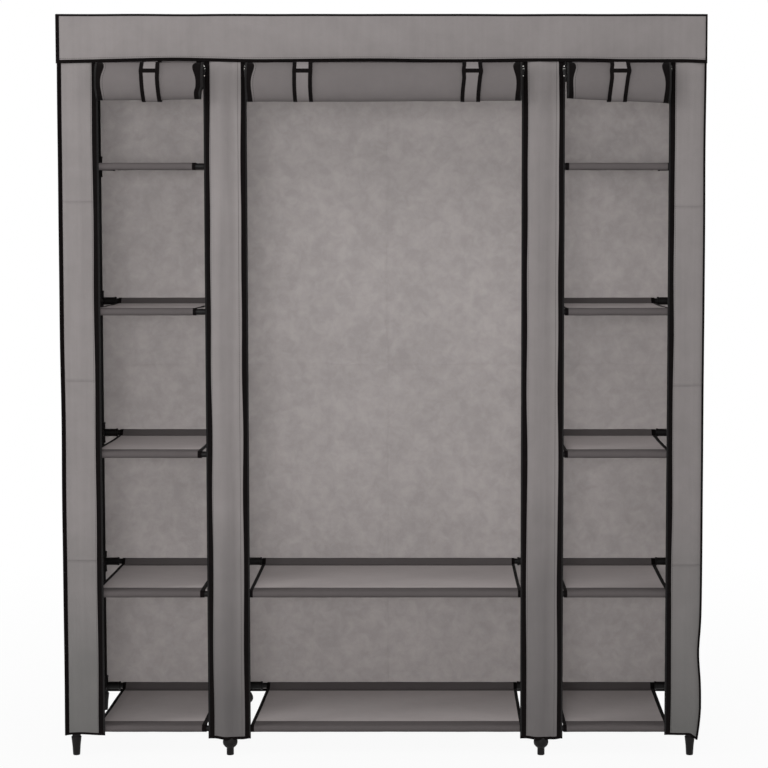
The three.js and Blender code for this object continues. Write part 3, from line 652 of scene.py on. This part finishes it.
for number, node in enumerate(sorted(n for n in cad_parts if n.startswith("shelf_"))):
    shelf(node, number)


# Cover. The zip edges have a track of teeth, then black tape, then cloth.
TEETH, TAPE = 4.0, 14.0
TEETH_THICK, TAPE_THICK, CLOTH_THICK = 2.5, 1.5, 1.0
SIDE_BOTTOMS, STRIP_BOTTOM, BACK_BOTTOM = {-1: 50.0, 1: 49.0}, 40.5, 45.0
# Heights and places across the back where the cover was folded when packed
FOLD_HEIGHTS, FOLD_PLACES = (470, 880, 1290), (-374.5, 0.0, 374.5)


def rows_up(bottom, top, hem, count=84):
    """Heights with rows at both sides of a hem binding."""
    return steps((bottom, bottom + hem, 1), (bottom + hem + 0.3, top, count))


def zip_edge(edge, inward, until, count):
    """Places across a strip from its zip edge inwards, with the thickness and material of each run."""
    places = [edge + inward * away for away in (0, TEETH, TEETH + 0.2, TAPE, TAPE + 0.2)]
    places += list(np.linspace(places[-1], until, count + 1)[1:])
    thick = [TEETH_THICK] * 2 + [TAPE_THICK] * 2 + [CLOTH_THICK] * (count + 1)
    return places, thick, [THIRD, BOUND, BOUND, BOUND] + [CLOTH] * count


def zip_edges(left, right, count):
    """The same for a sheet with a zip at both edges."""
    middle = (left + right) / 2
    first, second = zip_edge(left, 1, middle, count), zip_edge(right, -1, middle, count)
    places, thick = (np.array(a + b[::-1][1:]) for a, b in zip(first[:2], second[:2]))
    return places, thick, first[2] + second[2][::-1]


def with_hem(marks, rows):
    """The materials of a sheet's faces, with a binding along its lower edge."""
    slots = np.tile(marks, (rows - 1, 1))
    slots[0] = BOUND
    return slots


def near_column(x):
    return np.min([np.abs(x - column) for column in COLUMNS], axis=0)


def cover_side(side, strip):
    """A side panel with the outer front strip. Only the left one has a binding over its front corner."""
    hem_bottom, bend = SIDE_BOTTOMS[side], 4.0
    edge, corner_x = side * (SIDE_CLOTH - strip), side * SIDE_CLOTH
    places, thick, marks = zip_edge(edge, side, side * (SIDE_CLOTH - 9.2), 12)
    places += [side * (SIDE_CLOTH - 9.0), side * (SIDE_CLOTH - bend)]
    corner_column = len(places)
    turn = [(corner_x - side * bend + side * bend * math.sin(a), FRONT_CLOTH + bend - bend * math.cos(a))
            for a in np.linspace(0, math.pi / 2, 5)[1:]]
    panel = [(corner_x, y) for y in np.linspace(FRONT_CLOTH + bend, BACK_CLOTH - 3.0, 23)[1:]]
    outline = np.array([(p, FRONT_CLOTH) for p in places] + turn + panel)
    bound = side < 0
    thick = np.array(thick + [1.7 if bound else CLOTH_THICK] * 2 + [CLOTH_THICK] * (len(turn) + len(panel)))
    marks = marks + [CLOTH] + [BOUND if bound else CLOTH] * (1 + len(turn)) + [CLOTH] * len(panel)
    z_rows = rows_up(hem_bottom, COVER_TOP, COVER_HEM)
    x, z = np.meshgrid(outline[:, 0], z_rows)
    y = np.tile(outline[:, 1], (len(z_rows), 1))
    is_panel = y > FRONT_CLOTH + bend + 0.5
    across_front = np.clip((np.abs(x) - abs(edge) - TEETH) / (SIDE_CLOTH - abs(edge) - TEETH - 6), 0, 1)
    across_panel = np.clip((y - FRONT_CLOTH) / (BACK_CLOTH - FRONT_CLOTH), 0, 1)
    puff = 3.0 * swell(z)
    seed = 300 if side > 0 else 200
    front_fold = np.sin(np.pi * across_front) * (puff + 1.6 + 1.3 * ripple(x * 3.2, z, 520, seed + 1))
    panel_fold = np.sin(np.pi * across_panel) ** 0.6 * (puff + 2.2 + 1.6 * ripple(y * 1.5, z, 430, seed + 2))
    panel_fold = panel_fold + 0.8 * crease(y, z, (26, 60), (30, 1720), 2.4)
    for height in FOLD_HEIGHTS:
        panel_fold = panel_fold + 0.7 * crease(y, z, (-190, height), (240, height + 4), 2.4)
    x = x + np.where(is_panel, side * panel_fold, 0)
    y = y - np.where(is_panel, 0, front_fold)
    slack = 0.8 * wander(z, seed + 5)
    if side > 0:
        slack = slack - (5.6 * np.exp(-((z - 246) / 55) ** 2) + 13.0 * np.clip((118 - z) / 90, 0, 1) ** 1.6)
    near_corner = np.clip((np.abs(x) - abs(edge) - 30) / (SIDE_CLOTH - abs(edge) - 30), 0, 1)
    ease = np.where(is_panel, np.clip(1.15 - across_panel * 1.6, 0, 1), near_corner ** 2)
    x = x + side * slack * ease
    tape_edge = np.abs(np.abs(x) - abs(edge) - TAPE) < 0.5
    x = x + np.where(tape_edge, 1.0 * wander(z, seed + 7, 300), 0)
    z = z + np.clip((140 - z) / 95, 0, 1) * (2.4 * ripple(x * 1.6, y * 1.2, 210, seed + 9))
    if side > 0:
        corner = np.clip((x - SIDE_CLOTH + 24) / 14, 0, 1) * np.clip((FRONT_CLOTH + 55 - y) / 45, 0, 1)
        z = z - 11.0 * corner * np.clip((110 - z) / 60, 0, 1)
    shape = Shape()
    slab(shape, x, y, z, thick, with_hem(marks, len(z_rows)), flip=side > 0)
    piping(shape, x[:, corner_column] + side * 1.2, y[:, corner_column] - 1.2, z[:, corner_column])
    name = "left" if side < 0 else "right"
    piece = shape.make(f"cover_side_{name}_cloth", [side_cloth, binding, teeth], "wardrobe",
                       f"cover_side_{name}", slot="cover_cloth")
    run_length(outline)[-1] * MM


def cover_strip(name, left, right, seed):
    places, thick, marks = zip_edges(left, right, 9)
    top = HEADER_BOTTOM - 0.3
    z_rows = rows_up(STRIP_BOTTOM, top, STRIP_HEM)
    x, z = np.meshgrid(places, z_rows)
    share = np.clip((x - left - TEETH) / (right - left - 2 * TEETH), 0, 1)
    ridge = 0.33 + 0.05 * wander(z, seed, 700)
    valley = 0.66 + 0.05 * wander(z, seed + 1, 600)
    fold = 6.5 * np.exp(-((share - ridge) / 0.15) ** 2) - 3.6 * np.exp(-((share - valley) / 0.11) ** 2)
    fold = fold + 4.0 * np.exp(-((share - 0.86) / 0.08) ** 2)
    ends = np.clip((top - z) / 160, 0.25, 1)
    lean = np.sin(np.pi * share) ** 0.7
    out = lean * (3.0 * swell(z) + 2.0) + fold * ends * np.sin(np.pi * share) ** 0.4
    out = out + lean * 0.9 * ripple(x * 2.4, z, 360, seed + 3)
    y = FRONT_CLOTH - np.clip(out, 0, None)
    tape_edge = (np.abs(x - left - TAPE - 0.1) < 0.4) | (np.abs(right - x - TAPE - 0.1) < 0.4)
    x = x + np.where(tape_edge, 1.2 * wander(z, seed + 5, 260), 0)
    z = z + np.clip((120 - z) / 75, 0, 1) * 1.6 * np.cos(np.pi * (share - 0.1) * 2)
    shape = Shape()
    slab(shape, x, y, z, thick, with_hem(marks, len(z_rows)))
    piece = shape.make(f"cover_strip_{name}_cloth", [strip_cloth, binding, teeth], "wardrobe",
                       f"cover_strip_{name}", slot="cover_cloth")


# Loose creases of the back panel, from (x, z) to (x, z)
BACK_CREASES = [((-300, 1010), (210, 960)), ((-330, 1170), (-230, 1080)), ((40, 1330), (300, 1300)),
                ((-250, 640), (120, 610)), ((-40, 760), (290, 790)), ((-640, 880), (-430, 900)),
                ((450, 1180), (640, 1150)), ((-150, 1440), (60, 1425)), ((470, 560), (630, 590))]


def cover_back():
    x_places = steps((-SIDE_CLOTH + 2, SIDE_CLOTH - 2, 110))
    z_rows = rows_up(BACK_BOTTOM, COVER_TOP, STRIP_HEM, 120)
    x, z = np.meshgrid(x_places, z_rows)
    share = np.clip((x + SIDE_CLOTH) / (2 * SIDE_CLOTH), 0, 1)
    free = np.clip((near_column(x) - 8) / 60, 0, 1)
    out = 3.0 * swell(z) * np.sin(np.pi * share)
    out = out + free * (1.1 + 0.7 * ripple(x, z, 260, 41) + 0.3 * ripple(x, z, 90, 42))
    for number, (start, end) in enumerate(BACK_CREASES):
        out = out + (1.5 + 0.5 * (number % 3)) * crease(x, z, start, end, 3.6 + number % 2 * 2)
    for across in FOLD_PLACES:
        out = out + 0.7 * crease(x, z, (across, 40), (across + 2, 1740), 2.6)
    for height in FOLD_HEIGHTS:
        out = out + 0.6 * crease(x, z, (-745, height), (745, height + 5), 2.6)
    shape = Shape()
    slots = with_hem([CLOTH] * (len(x_places) - 1), len(z_rows))
    slab(shape, x, BACK_CLOTH + np.clip(out, 0, None), z, CLOTH_THICK, slots, flip=True)
    for side in (-1, 1):
        rise = np.linspace(BACK_BOTTOM, COVER_TOP, 60)
        piping(shape, side * SIDE_CLOTH + 0.5 * wander(rise, 60 + side, 400), BACK_CLOTH, rise)
    piece = shape.make("cover_back_cloth", [panel_cloth, binding], "wardrobe", "cover_back",
                       slot="panel_cloth")


# Heights of the valance's lower edge along the front, above or below its mean
VALANCE_EDGE = [(-750, -3.2), (-690, -2.2), (-590, 0.4), (-480, 3.0), (-400, 1.2), (-290, -1.4),
                (-180, -0.4), (-60, 0.8), (10, 0.8), (120, -1.2), (200, -1.4), (340, 0.8), (470, 0.8),
                (570, -1.4), (720, -1.0), (750, -3.6)]
VALANCE_BOTTOM, VALANCE_PAST_SIDE = 1629.4, 2.2
TOP_BACK = BACK_CLOTH + 2


def valance_edge(x):
    """The lower edge's height at each x, with its corners rounded off."""
    run = np.linspace(-760, 760, 400)
    kernel = np.hanning(31)
    rough = np.pad(np.interp(run, *zip(*VALANCE_EDGE)), 15, "edge")
    return np.interp(x, run, np.convolve(rough, kernel / kernel.sum(), "valid"))


def cover_top():
    shape = Shape()
    x, y = np.meshgrid(steps((-SIDE_CLOTH, SIDE_CLOTH, 120)), steps((VALANCE_Y, TOP_BACK, 26)))
    depth_share = (y - VALANCE_Y) / (TOP_BACK - VALANCE_Y)
    sag = np.clip(near_column(x) / 160, 0, 1) ** 1.5 * np.sin(np.pi * depth_share) ** 0.5
    dent = 2.9 * sag * (0.8 + 0.3 * ripple(x, y, 240, 71))
    ridge = 0.6 * crease(x, y, (-750, 26), (750, 29), 2.6)
    for fold_front, fold_back in ((0, 3), (-374, -376), (374, 371)):
        ridge = ridge + 0.8 * crease(x, y, (fold_front, -200), (fold_back, 250), 2.6)
    slab(shape, x, y, TOP_CLOTH - dent + ridge * sag, CLOTH_THICK, THIRD, flip=True)
    run = np.linspace(-SIDE_CLOTH, SIDE_CLOTH, 90)
    for y_edge, seed in ((VALANCE_Y, 81), (TOP_BACK, 82)):
        piping(shape, run, y_edge, TOP_CLOTH + 0.35 * wander(run, seed, 260))
    for side in (-1, 1):
        piping(shape, side * SIDE_CLOTH, np.linspace(VALANCE_Y, TOP_BACK, 30), TOP_CLOTH)
    end, height = SIDE_CLOTH + VALANCE_PAST_SIDE, TOP_CLOTH - VALANCE_BOTTOM
    x_places = steps((-end, -end + 8.6, 1), (-end + 8.8, end - 4.6, 130), (end - 4.4, end, 1))
    heights = steps((0, VALANCE_BINDING, 1), (VALANCE_BINDING + 0.25, height, 16))
    x, up = np.meshgrid(x_places, heights)
    share = up / height
    z = VALANCE_BOTTOM + up + valance_edge(x) * (1 - share) ** 0.8
    drape = 1.5 + 1.4 * ripple(x, up * 1.4, 330, 91) + 0.5 * ripple(x, up * 2, 110, 92)
    ends = np.clip((SIDE_CLOTH - np.abs(x)) / 60, 0.15, 1)
    y = VALANCE_Y - np.clip(drape, 0, None) * (1 - share) ** 0.6 * ends
    thick = np.where(up < VALANCE_BINDING + 0.1, 2.2, CLOTH_THICK)
    thick[:, [0, 1, -2, -1]] = 2.0
    slots = with_hem([BOUND] + [CLOTH] * (len(x_places) - 3) + [BOUND], len(heights))
    slab(shape, x, y, z, thick, slots, flip=True)
    x, z = np.meshgrid(steps((OPENINGS["left"][0] + 1, OPENINGS["right"][1] - 1, 60)),
                       steps((HEADER_BOTTOM, TOP_CLOTH - 1, 3)))
    slab(shape, x, FRONT_CLOTH, z, CLOTH_THICK, CLOTH)
    piece = shape.make("cover_top_cloth", [cover_cloth, binding, top_cloth], "wardrobe", "cover_top",
                       slot="cover_cloth")


cover_side(-1, 93.0)
cover_side(1, 84.5)
cover_strip("left", -412.0, -312.0, 400)
cover_strip("right", 324.0, 424.0, 500)
cover_back()
cover_top()

# Rolled doors: ten turns of one sheet, and how each roll's bottom edge and its two ends lie
DOOR_TILT = {"left": (0.5, 3.5), "middle": (-3.2, -0.6), "right": (5.5, -6.0)}
END_BULGE = {"left": (2.4, 7.2), "middle": (2.4, 2.4), "right": (0.8, 2.4)}
LOW_BULGE, LOW_END = 1.2, 1558
ROLL_STEPS = 34
DOOR_GAP, DROP = 3, 1494.0
FOLD_DEPTH, SHEET_FLAT_ABOVE, SHEET_FLAT_BELOW = 2.8, 1500, 110


def door_roll(name, start, end, seed):
    x0, x1 = start + DOOR_GAP, end - DOOR_GAP
    total = ROLL_TURNS * ROLL_STEPS
    turn = -2 * np.pi * np.arange(total + 1) / ROLL_STEPS
    wound = np.arange(total + 1) / total
    outer = wound < 1.1 / ROLL_TURNS
    half_y, half_z = (ROLL_OUTER[k] + (ROLL_CORE[k] - ROLL_OUTER[k]) * wound for k in (0, 1))
    front_high = np.clip(np.cos(turn - math.radians(130)), 0, 1) ** 6
    flare = np.clip(np.cos(turn - math.radians(250)), 0, 1) ** 2
    width = 12.0 + 2.5 * flare + 7.5 * front_high * outer
    count = max(16, int((x1 - x0) / 17))
    left_edge, right_edge = (x0 + width)[:, None], (x1 - width)[:, None]
    inside = left_edge + 0.2 + (right_edge - left_edge - 0.4) * np.linspace(0, 1, count + 1)
    column = np.ones((total + 1, 1))
    x = np.hstack([column * (x0, x0 + TEETH, x0 + TEETH + 0.2), left_edge, inside, right_edge,
                   column * (x1 - TEETH - 0.2, x1 - TEETH, x1)])
    angle = turn[:, None]
    soft = np.where(outer, 1.0, 0.35)[:, None]
    dent = soft * (0.30 * ripple(x, angle * 40, 130, seed) + 0.22 * ripple(x, angle * 60, 45, seed + 1))
    y = ROLL_CENTRE[0] + (half_y[:, None] + dent) * np.cos(angle)
    z = ROLL_CENTRE[1] + (half_z[:, None] + dent) * np.sin(angle)
    forward = np.clip((-206 - y) / 15, 0, 1)
    low_end = 1 - np.clip((z - LOW_END) / 8, 0, 1)
    for edge, way, bulge in ((x0, -1, END_BULGE[name][0]), (x1, 1, END_BULGE[name][1])):
        bulge = bulge + (min(bulge, LOW_BULGE) - bulge) * low_end
        x = x + way * bulge * forward * np.clip(1 - np.abs(x - edge) / 30, 0, 1)
    tilt = np.interp(x, (x0, x1), DOOR_TILT[name]) + 0.6 * wander(x, seed + 4, 260)
    z = z + tilt * np.clip(0.5 - np.sin(angle) * 0.7, 0, 1)
    thick = np.full(x.shape[1], 0.8)
    thick[[0, 1, -2, -1]] = 1.5
    marks = [THIRD, BOUND, BOUND, BOUND] + [CLOTH] * count + [BOUND, BOUND, BOUND, THIRD]
    shape = Shape()
    slab(shape, x, y, z, thick, marks)
    piece = shape.make(f"door_roll_{name}_cloth", [door_cloth, binding, teeth], f"door_{name}",
                       f"door_roll_{name}", slot="door_cloth")
    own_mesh(piece)


def door_sheet(name, start, end, seed):
    """The sheet between header and roll. Its folds suit the length that it would have with the roll lowered.
    """
    x0, x1 = start + DOOR_GAP, end - DOOR_GAP
    top, bottom = HEADER_BOTTOM - 0.3, ROLL_CENTRE[1]
    blend_from, blend_to = top - 2, bottom + 3
    z_rows = np.linspace(bottom, top, 110)
    t = np.clip((z_rows - blend_from) / (blend_to - blend_from), 0, 1)
    places, thick, marks = zip_edges(x0, x1, max(20, int((x1 - x0) / 14)) // 2)
    x, z = np.meshgrid(places, z_rows)
    low = np.tile((z_rows - DROP * t * t * (3 - 2 * t))[:, None], len(places))
    share = np.clip((x - x0 - TEETH) / (x1 - x0 - 2 * TEETH), 0, 1)
    free = np.sin(np.pi * share) ** 0.6 * np.clip((SHEET_FLAT_ABOVE - low) / 160, 0, 1)
    free = free * np.clip((low - SHEET_FLAT_BELOW) / 150, 0, 1)
    fold = 0.8 * swell(low) + 0.9 + 1.1 * ripple(x * 2.0, low, 420, seed)
    fold = fold + 0.6 * ripple(x, low * 1.6, 150, seed + 1)
    for k, height in enumerate(np.linspace(250, 1430, 9)):
        fold = fold + 1.2 * crease(x, low, (x0, height), (x1, height + 6 * (-1) ** k), 7.0)
    # Rolled up, the folds lie close together behind the valance, so none is deeper than the room there
    y = FRONT_CLOTH - free * FOLD_DEPTH * np.tanh(np.clip(fold, 0, None) / FOLD_DEPTH)
    # Lowered, the edges close up to the strips beside them
    closed = 2.7 * np.clip((1560 - low) / 30, 0, 1)
    x = x - closed * np.clip(1 - (x - x0) / 30, 0, 1) + closed * np.clip(1 - (x1 - x) / 30, 0, 1)
    shape = Shape()
    slab(shape, x, y, z, thick, marks)
    piece = shape.make(f"door_sheet_{name}", [door_cloth, binding, teeth], None, slot="door_cloth")
    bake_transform(piece)


# Straps: down behind the valance, over the roll and under it, and up again behind the door's sheet
STRAP_WIDTH, STRAP_EDGE, STRAP_AWAY = 45.0, 9.0, 1.5
CROSS_TAPE, CROSS_TAPE_HALF = 1607.0, 5.6


def strap(node, seed, lean, kink):
    lowest, highest = node_box(node)
    centre = (lowest[0] + highest[0]) / 2
    top = HEADER_BOTTOM - 0.3
    path = [(FRONT_CLOTH - STRAP_AWAY, z) for z in np.linspace(top, 1650.0, 3)]
    path += [(-198.2, 1627.0), (-208.5, 1628.6)]
    for turn in np.linspace(math.radians(112), math.radians(356), 72):
        path.append((ROLL_CENTRE[0] + (ROLL_OUTER[0] + STRAP_AWAY + 0.4) * math.cos(turn),
                     ROLL_CENTRE[1] + (ROLL_OUTER[1] + STRAP_AWAY + 0.4) * math.sin(turn)))
    path = np.array(path)
    depth, height = path.T
    half = STRAP_WIDTH / 2
    inner = half - STRAP_EDGE
    across = np.array([-half, -inner, -inner + 0.2, -inner * 0.4, inner * 0.4, inner - 0.2, inner, half])
    at_edge = np.abs(across) > inner - 0.1
    x, y = np.meshgrid(centre + across, depth)
    z = height[:, None]
    below = np.clip((CROSS_TAPE - z) / 60, 0, 1) * (y < ROLL_CENTRE[0] + 12)
    splay = np.exp(-((z - CROSS_TAPE) / 9) ** 2) * (y < ROLL_CENTRE[0]) * np.sign(across)
    x = x + lean * below + kink * splay
    x = x + 0.5 * ripple(z, np.arange(len(path))[:, None], 60, seed)
    front = depth < ROLL_CENTRE[0] + 6
    band = front & (np.abs(height - CROSS_TAPE) < CROSS_TAPE_HALF)
    patch = front & (height >= CROSS_TAPE + CROSS_TAPE_HALF)
    marks = np.full((len(path) - 1, len(across) - 1), CLOTH)
    marks[:, (0, -1)] = BOUND
    rear_marks = marks[0].copy()
    marks[patch[:-1], 1:-1] = THIRD
    marks[band[:-1] & band[1:]] = BOUND
    thick = np.where(at_edge, 1.9, 1.0) + np.where(band, 0.7, 0.0)[:, None]
    shape = Shape()
    slab(shape, x, y, z, thick, marks, flip=True)
    piece = shape.make(f"{node}_cloth", [strap_cloth, binding, strap_light], "wardrobe", node,
                       slot="strap_cloth")
    run_length(path)[-1] * MM
    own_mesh(piece)
    rear = Shape()
    rise = np.linspace(ROLL_CENTRE[1] - 2, top, 12)
    x, z = np.meshgrid(centre + across, rise)
    slab(rear, x, FRONT_CLOTH + 1.7, z, np.where(at_edge, 1.6, 1.0), rear_marks)
    back = rear.make(f"{node}_rear", [strap_cloth, binding], "wardrobe", slot="strap_cloth")


for index, (name, (start, end)) in enumerate(OPENINGS.items()):
    door_sheet(name, start, end, 600 + 20 * index)
    door_roll(name, start, end, 700 + 20 * index)
strap("strap_left", 811, 3.0, 0.8)
strap("strap_middle_1", 821, 0.5, 0.5)
strap("strap_middle_2", 831, -5.0, 1.8)
strap("strap_right", 841, -6.5, 2.2)

# Zip sliders: two plates that clasp the track, a nose between them, a bridge, a link and the pull
SLIDER_WIDTH, SLIDER_LENGTH, NOSE = 7.8, 15.0, -1.3
PULL_TOP, PULL_TIP = 2.7, 2.1


def arc(centre_x, centre_z, radius, low, high, count):
    return [(centre_x + radius * math.cos(a), centre_z + radius * math.sin(a))
            for a in np.radians(np.linspace(low, high, count))]


def rounded(centre_x, centre_z, half_x, half_z, radius):
    outline = []
    for sx, sz, base in ((1, 1, 0), (-1, 1, 90), (-1, -1, 180), (1, -1, 270)):
        outline += arc(centre_x + sx * (half_x - radius), centre_z + sz * (half_z - radius), radius, base,
                       base + 90, 5)
    return np.array(outline)


def zip_slider(node, edge, into):
    """A slider on the zip at an edge. Into is 1 where the door's cloth lies towards +X, and -1 where not."""
    lowest, highest = node_box(node)
    tip, body_z = lowest[2], highest[2] - SLIDER_LENGTH / 2
    middle, nose = (edge - into * (NOSE + away) for away in (SLIDER_WIDTH / 2, 0.6))
    shape = Shape()
    body = rounded(middle, body_z, SLIDER_WIDTH / 2, SLIDER_LENGTH / 2, 2.6)
    plate(shape, body, FRONT_CLOTH - 3.3, FRONT_CLOTH - 1.65, 0.5)
    plate(shape, body, FRONT_CLOTH + 1.65, FRONT_CLOTH + 2.7, 0.5)
    post = rounded(nose, body_z, 0.75, SLIDER_LENGTH / 2 - 2, 0.6)
    plate(shape, post, FRONT_CLOTH - 2.6, FRONT_CLOTH + 2.3, 0.3)
    bridge = [(-3.0, 4.4), (-4.4, 3.6), (-4.9, 1.6), (-4.9, -1.6), (-4.4, -3.6), (-3.0, -4.4)]
    tube(shape, [(middle, FRONT_CLOTH + y, body_z + z) for y, z in bridge], 0.85, 10)
    tube(shape, [(middle + x, FRONT_CLOTH - 4.0, body_z - 0.6) for x in (-2.6, 2.6)], 1.0, 12, slot=1)
    pull = arc(middle, body_z + 0.6 - PULL_TOP, PULL_TOP, 0, 180, 9)
    pull += arc(middle, tip + PULL_TIP, PULL_TIP, 180, 360, 9)
    plate(shape, np.array(pull), FRONT_CLOTH - 4.8, FRONT_CLOTH - 3.7, 0.3)
    for knob, y, z in (([(0, 0.9), (0.5, 1.35), (0.75, 1.0)], FRONT_CLOTH - 4.6, tip + 3.4),
                       ([(0, 1.5), (0.5, 1.3), (0.7, 0.6)], FRONT_CLOTH - 4.8, body_z + 5.4)):
        lathe(shape, knob, (middle, y, z), (0, -1, 0), 16, 1)
    shape.make(f"{node}_dressed", [slider_black, nickel], node.replace("zip_slider_", "zip_"), node,
               slot="zip_black")


for name, (start, end) in OPENINGS.items():
    zip_slider(f"zip_slider_{name}_1", start, 1)
    zip_slider(f"zip_slider_{name}_2", end, -1)

# Floor: pale and plain where it is seen, and grey to the light that it throws back
PALE_FROM, PALE_TO = 900, 2600
floor_shape = Shape()
floor_shape.add([(-6000, -6000, 0), (6000, -6000, 0), (6000, 5000, 0), (-6000, 5000, 0)], [(0, 1, 2, 3)], 0)
pale = material("floor")
pale.set(Base_Color=(0.62, 0.62, 0.62), Roughness=0.9)
glow = pale.add("ShaderNodeEmission", {"Color": (1, 1, 1), "Strength": 1.0})
around = pale.add("ShaderNodeVectorMath", {0: pale.place}, operation="LENGTH").outputs["Value"]
paleness = pale.spread(around, PALE_FROM * MM, PALE_TO * MM, 0.94, 1.0)
paleness = pale.math("MULTIPLY", pale.seen_itself(), paleness)
mix = pale.add("ShaderNodeMixShader", {0: paleness, 1: pale.shader.outputs[0], 2: glow.outputs[0]})
pale.feed(pale.tree.nodes["Material Output"].inputs["Surface"], mix.outputs[0])
floor_shape.make("floor", [pale.owner], None)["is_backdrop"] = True

world = bpy.data.worlds.new("studio")
bpy.context.scene.world = world
sky = Nodes(world, "Background")
sky.set(Color=(1, 1, 1), Strength=sky.spread(sky.seen_itself(), 0.0, 1.0, 0.38, 1.0))


def lamp(name, place, target, size, power, spread=180):
    light = bpy.data.lights.new(name, "AREA")
    light.shape = "RECTANGLE"
    light.size, light.size_y = size
    light.energy = power
    light.spread = math.radians(spread)
    source = bpy.data.objects.new(name, light)
    source.location = place
    source.rotation_euler = (Vector(target) - Vector(place)).to_track_quat("-Z", "Y").to_euler()
    bpy.context.scene.collection.objects.link(source)


lamp("key", (-0.35, -6.0, 1.5), (-0.7, 0, 1.75), (1.2, 0.9), 18, 75)
lamp("high", (-0.9, -3.6, 3.3), (-0.3, 0, 1.1), (2.6, 1.4), 31)
lamp("behind", (0.0, 5.0, 2.6), (0, 0.25, 1.5), (4.2, 2.6), 126)
lamp("left", (-4.0, -1.5, 2.1), (-0.75, 0, 1.1), (1.4, 1.4), 50)
lamp("right", (4.2, -0.9, 2.2), (0.75, 0, 1.0), (1.8, 1.6), 46)

boxes = {"cad": cad_box, "visual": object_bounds()}
{key: [list(map(float, corner)) for corner in box] for key, box in boxes.items()}
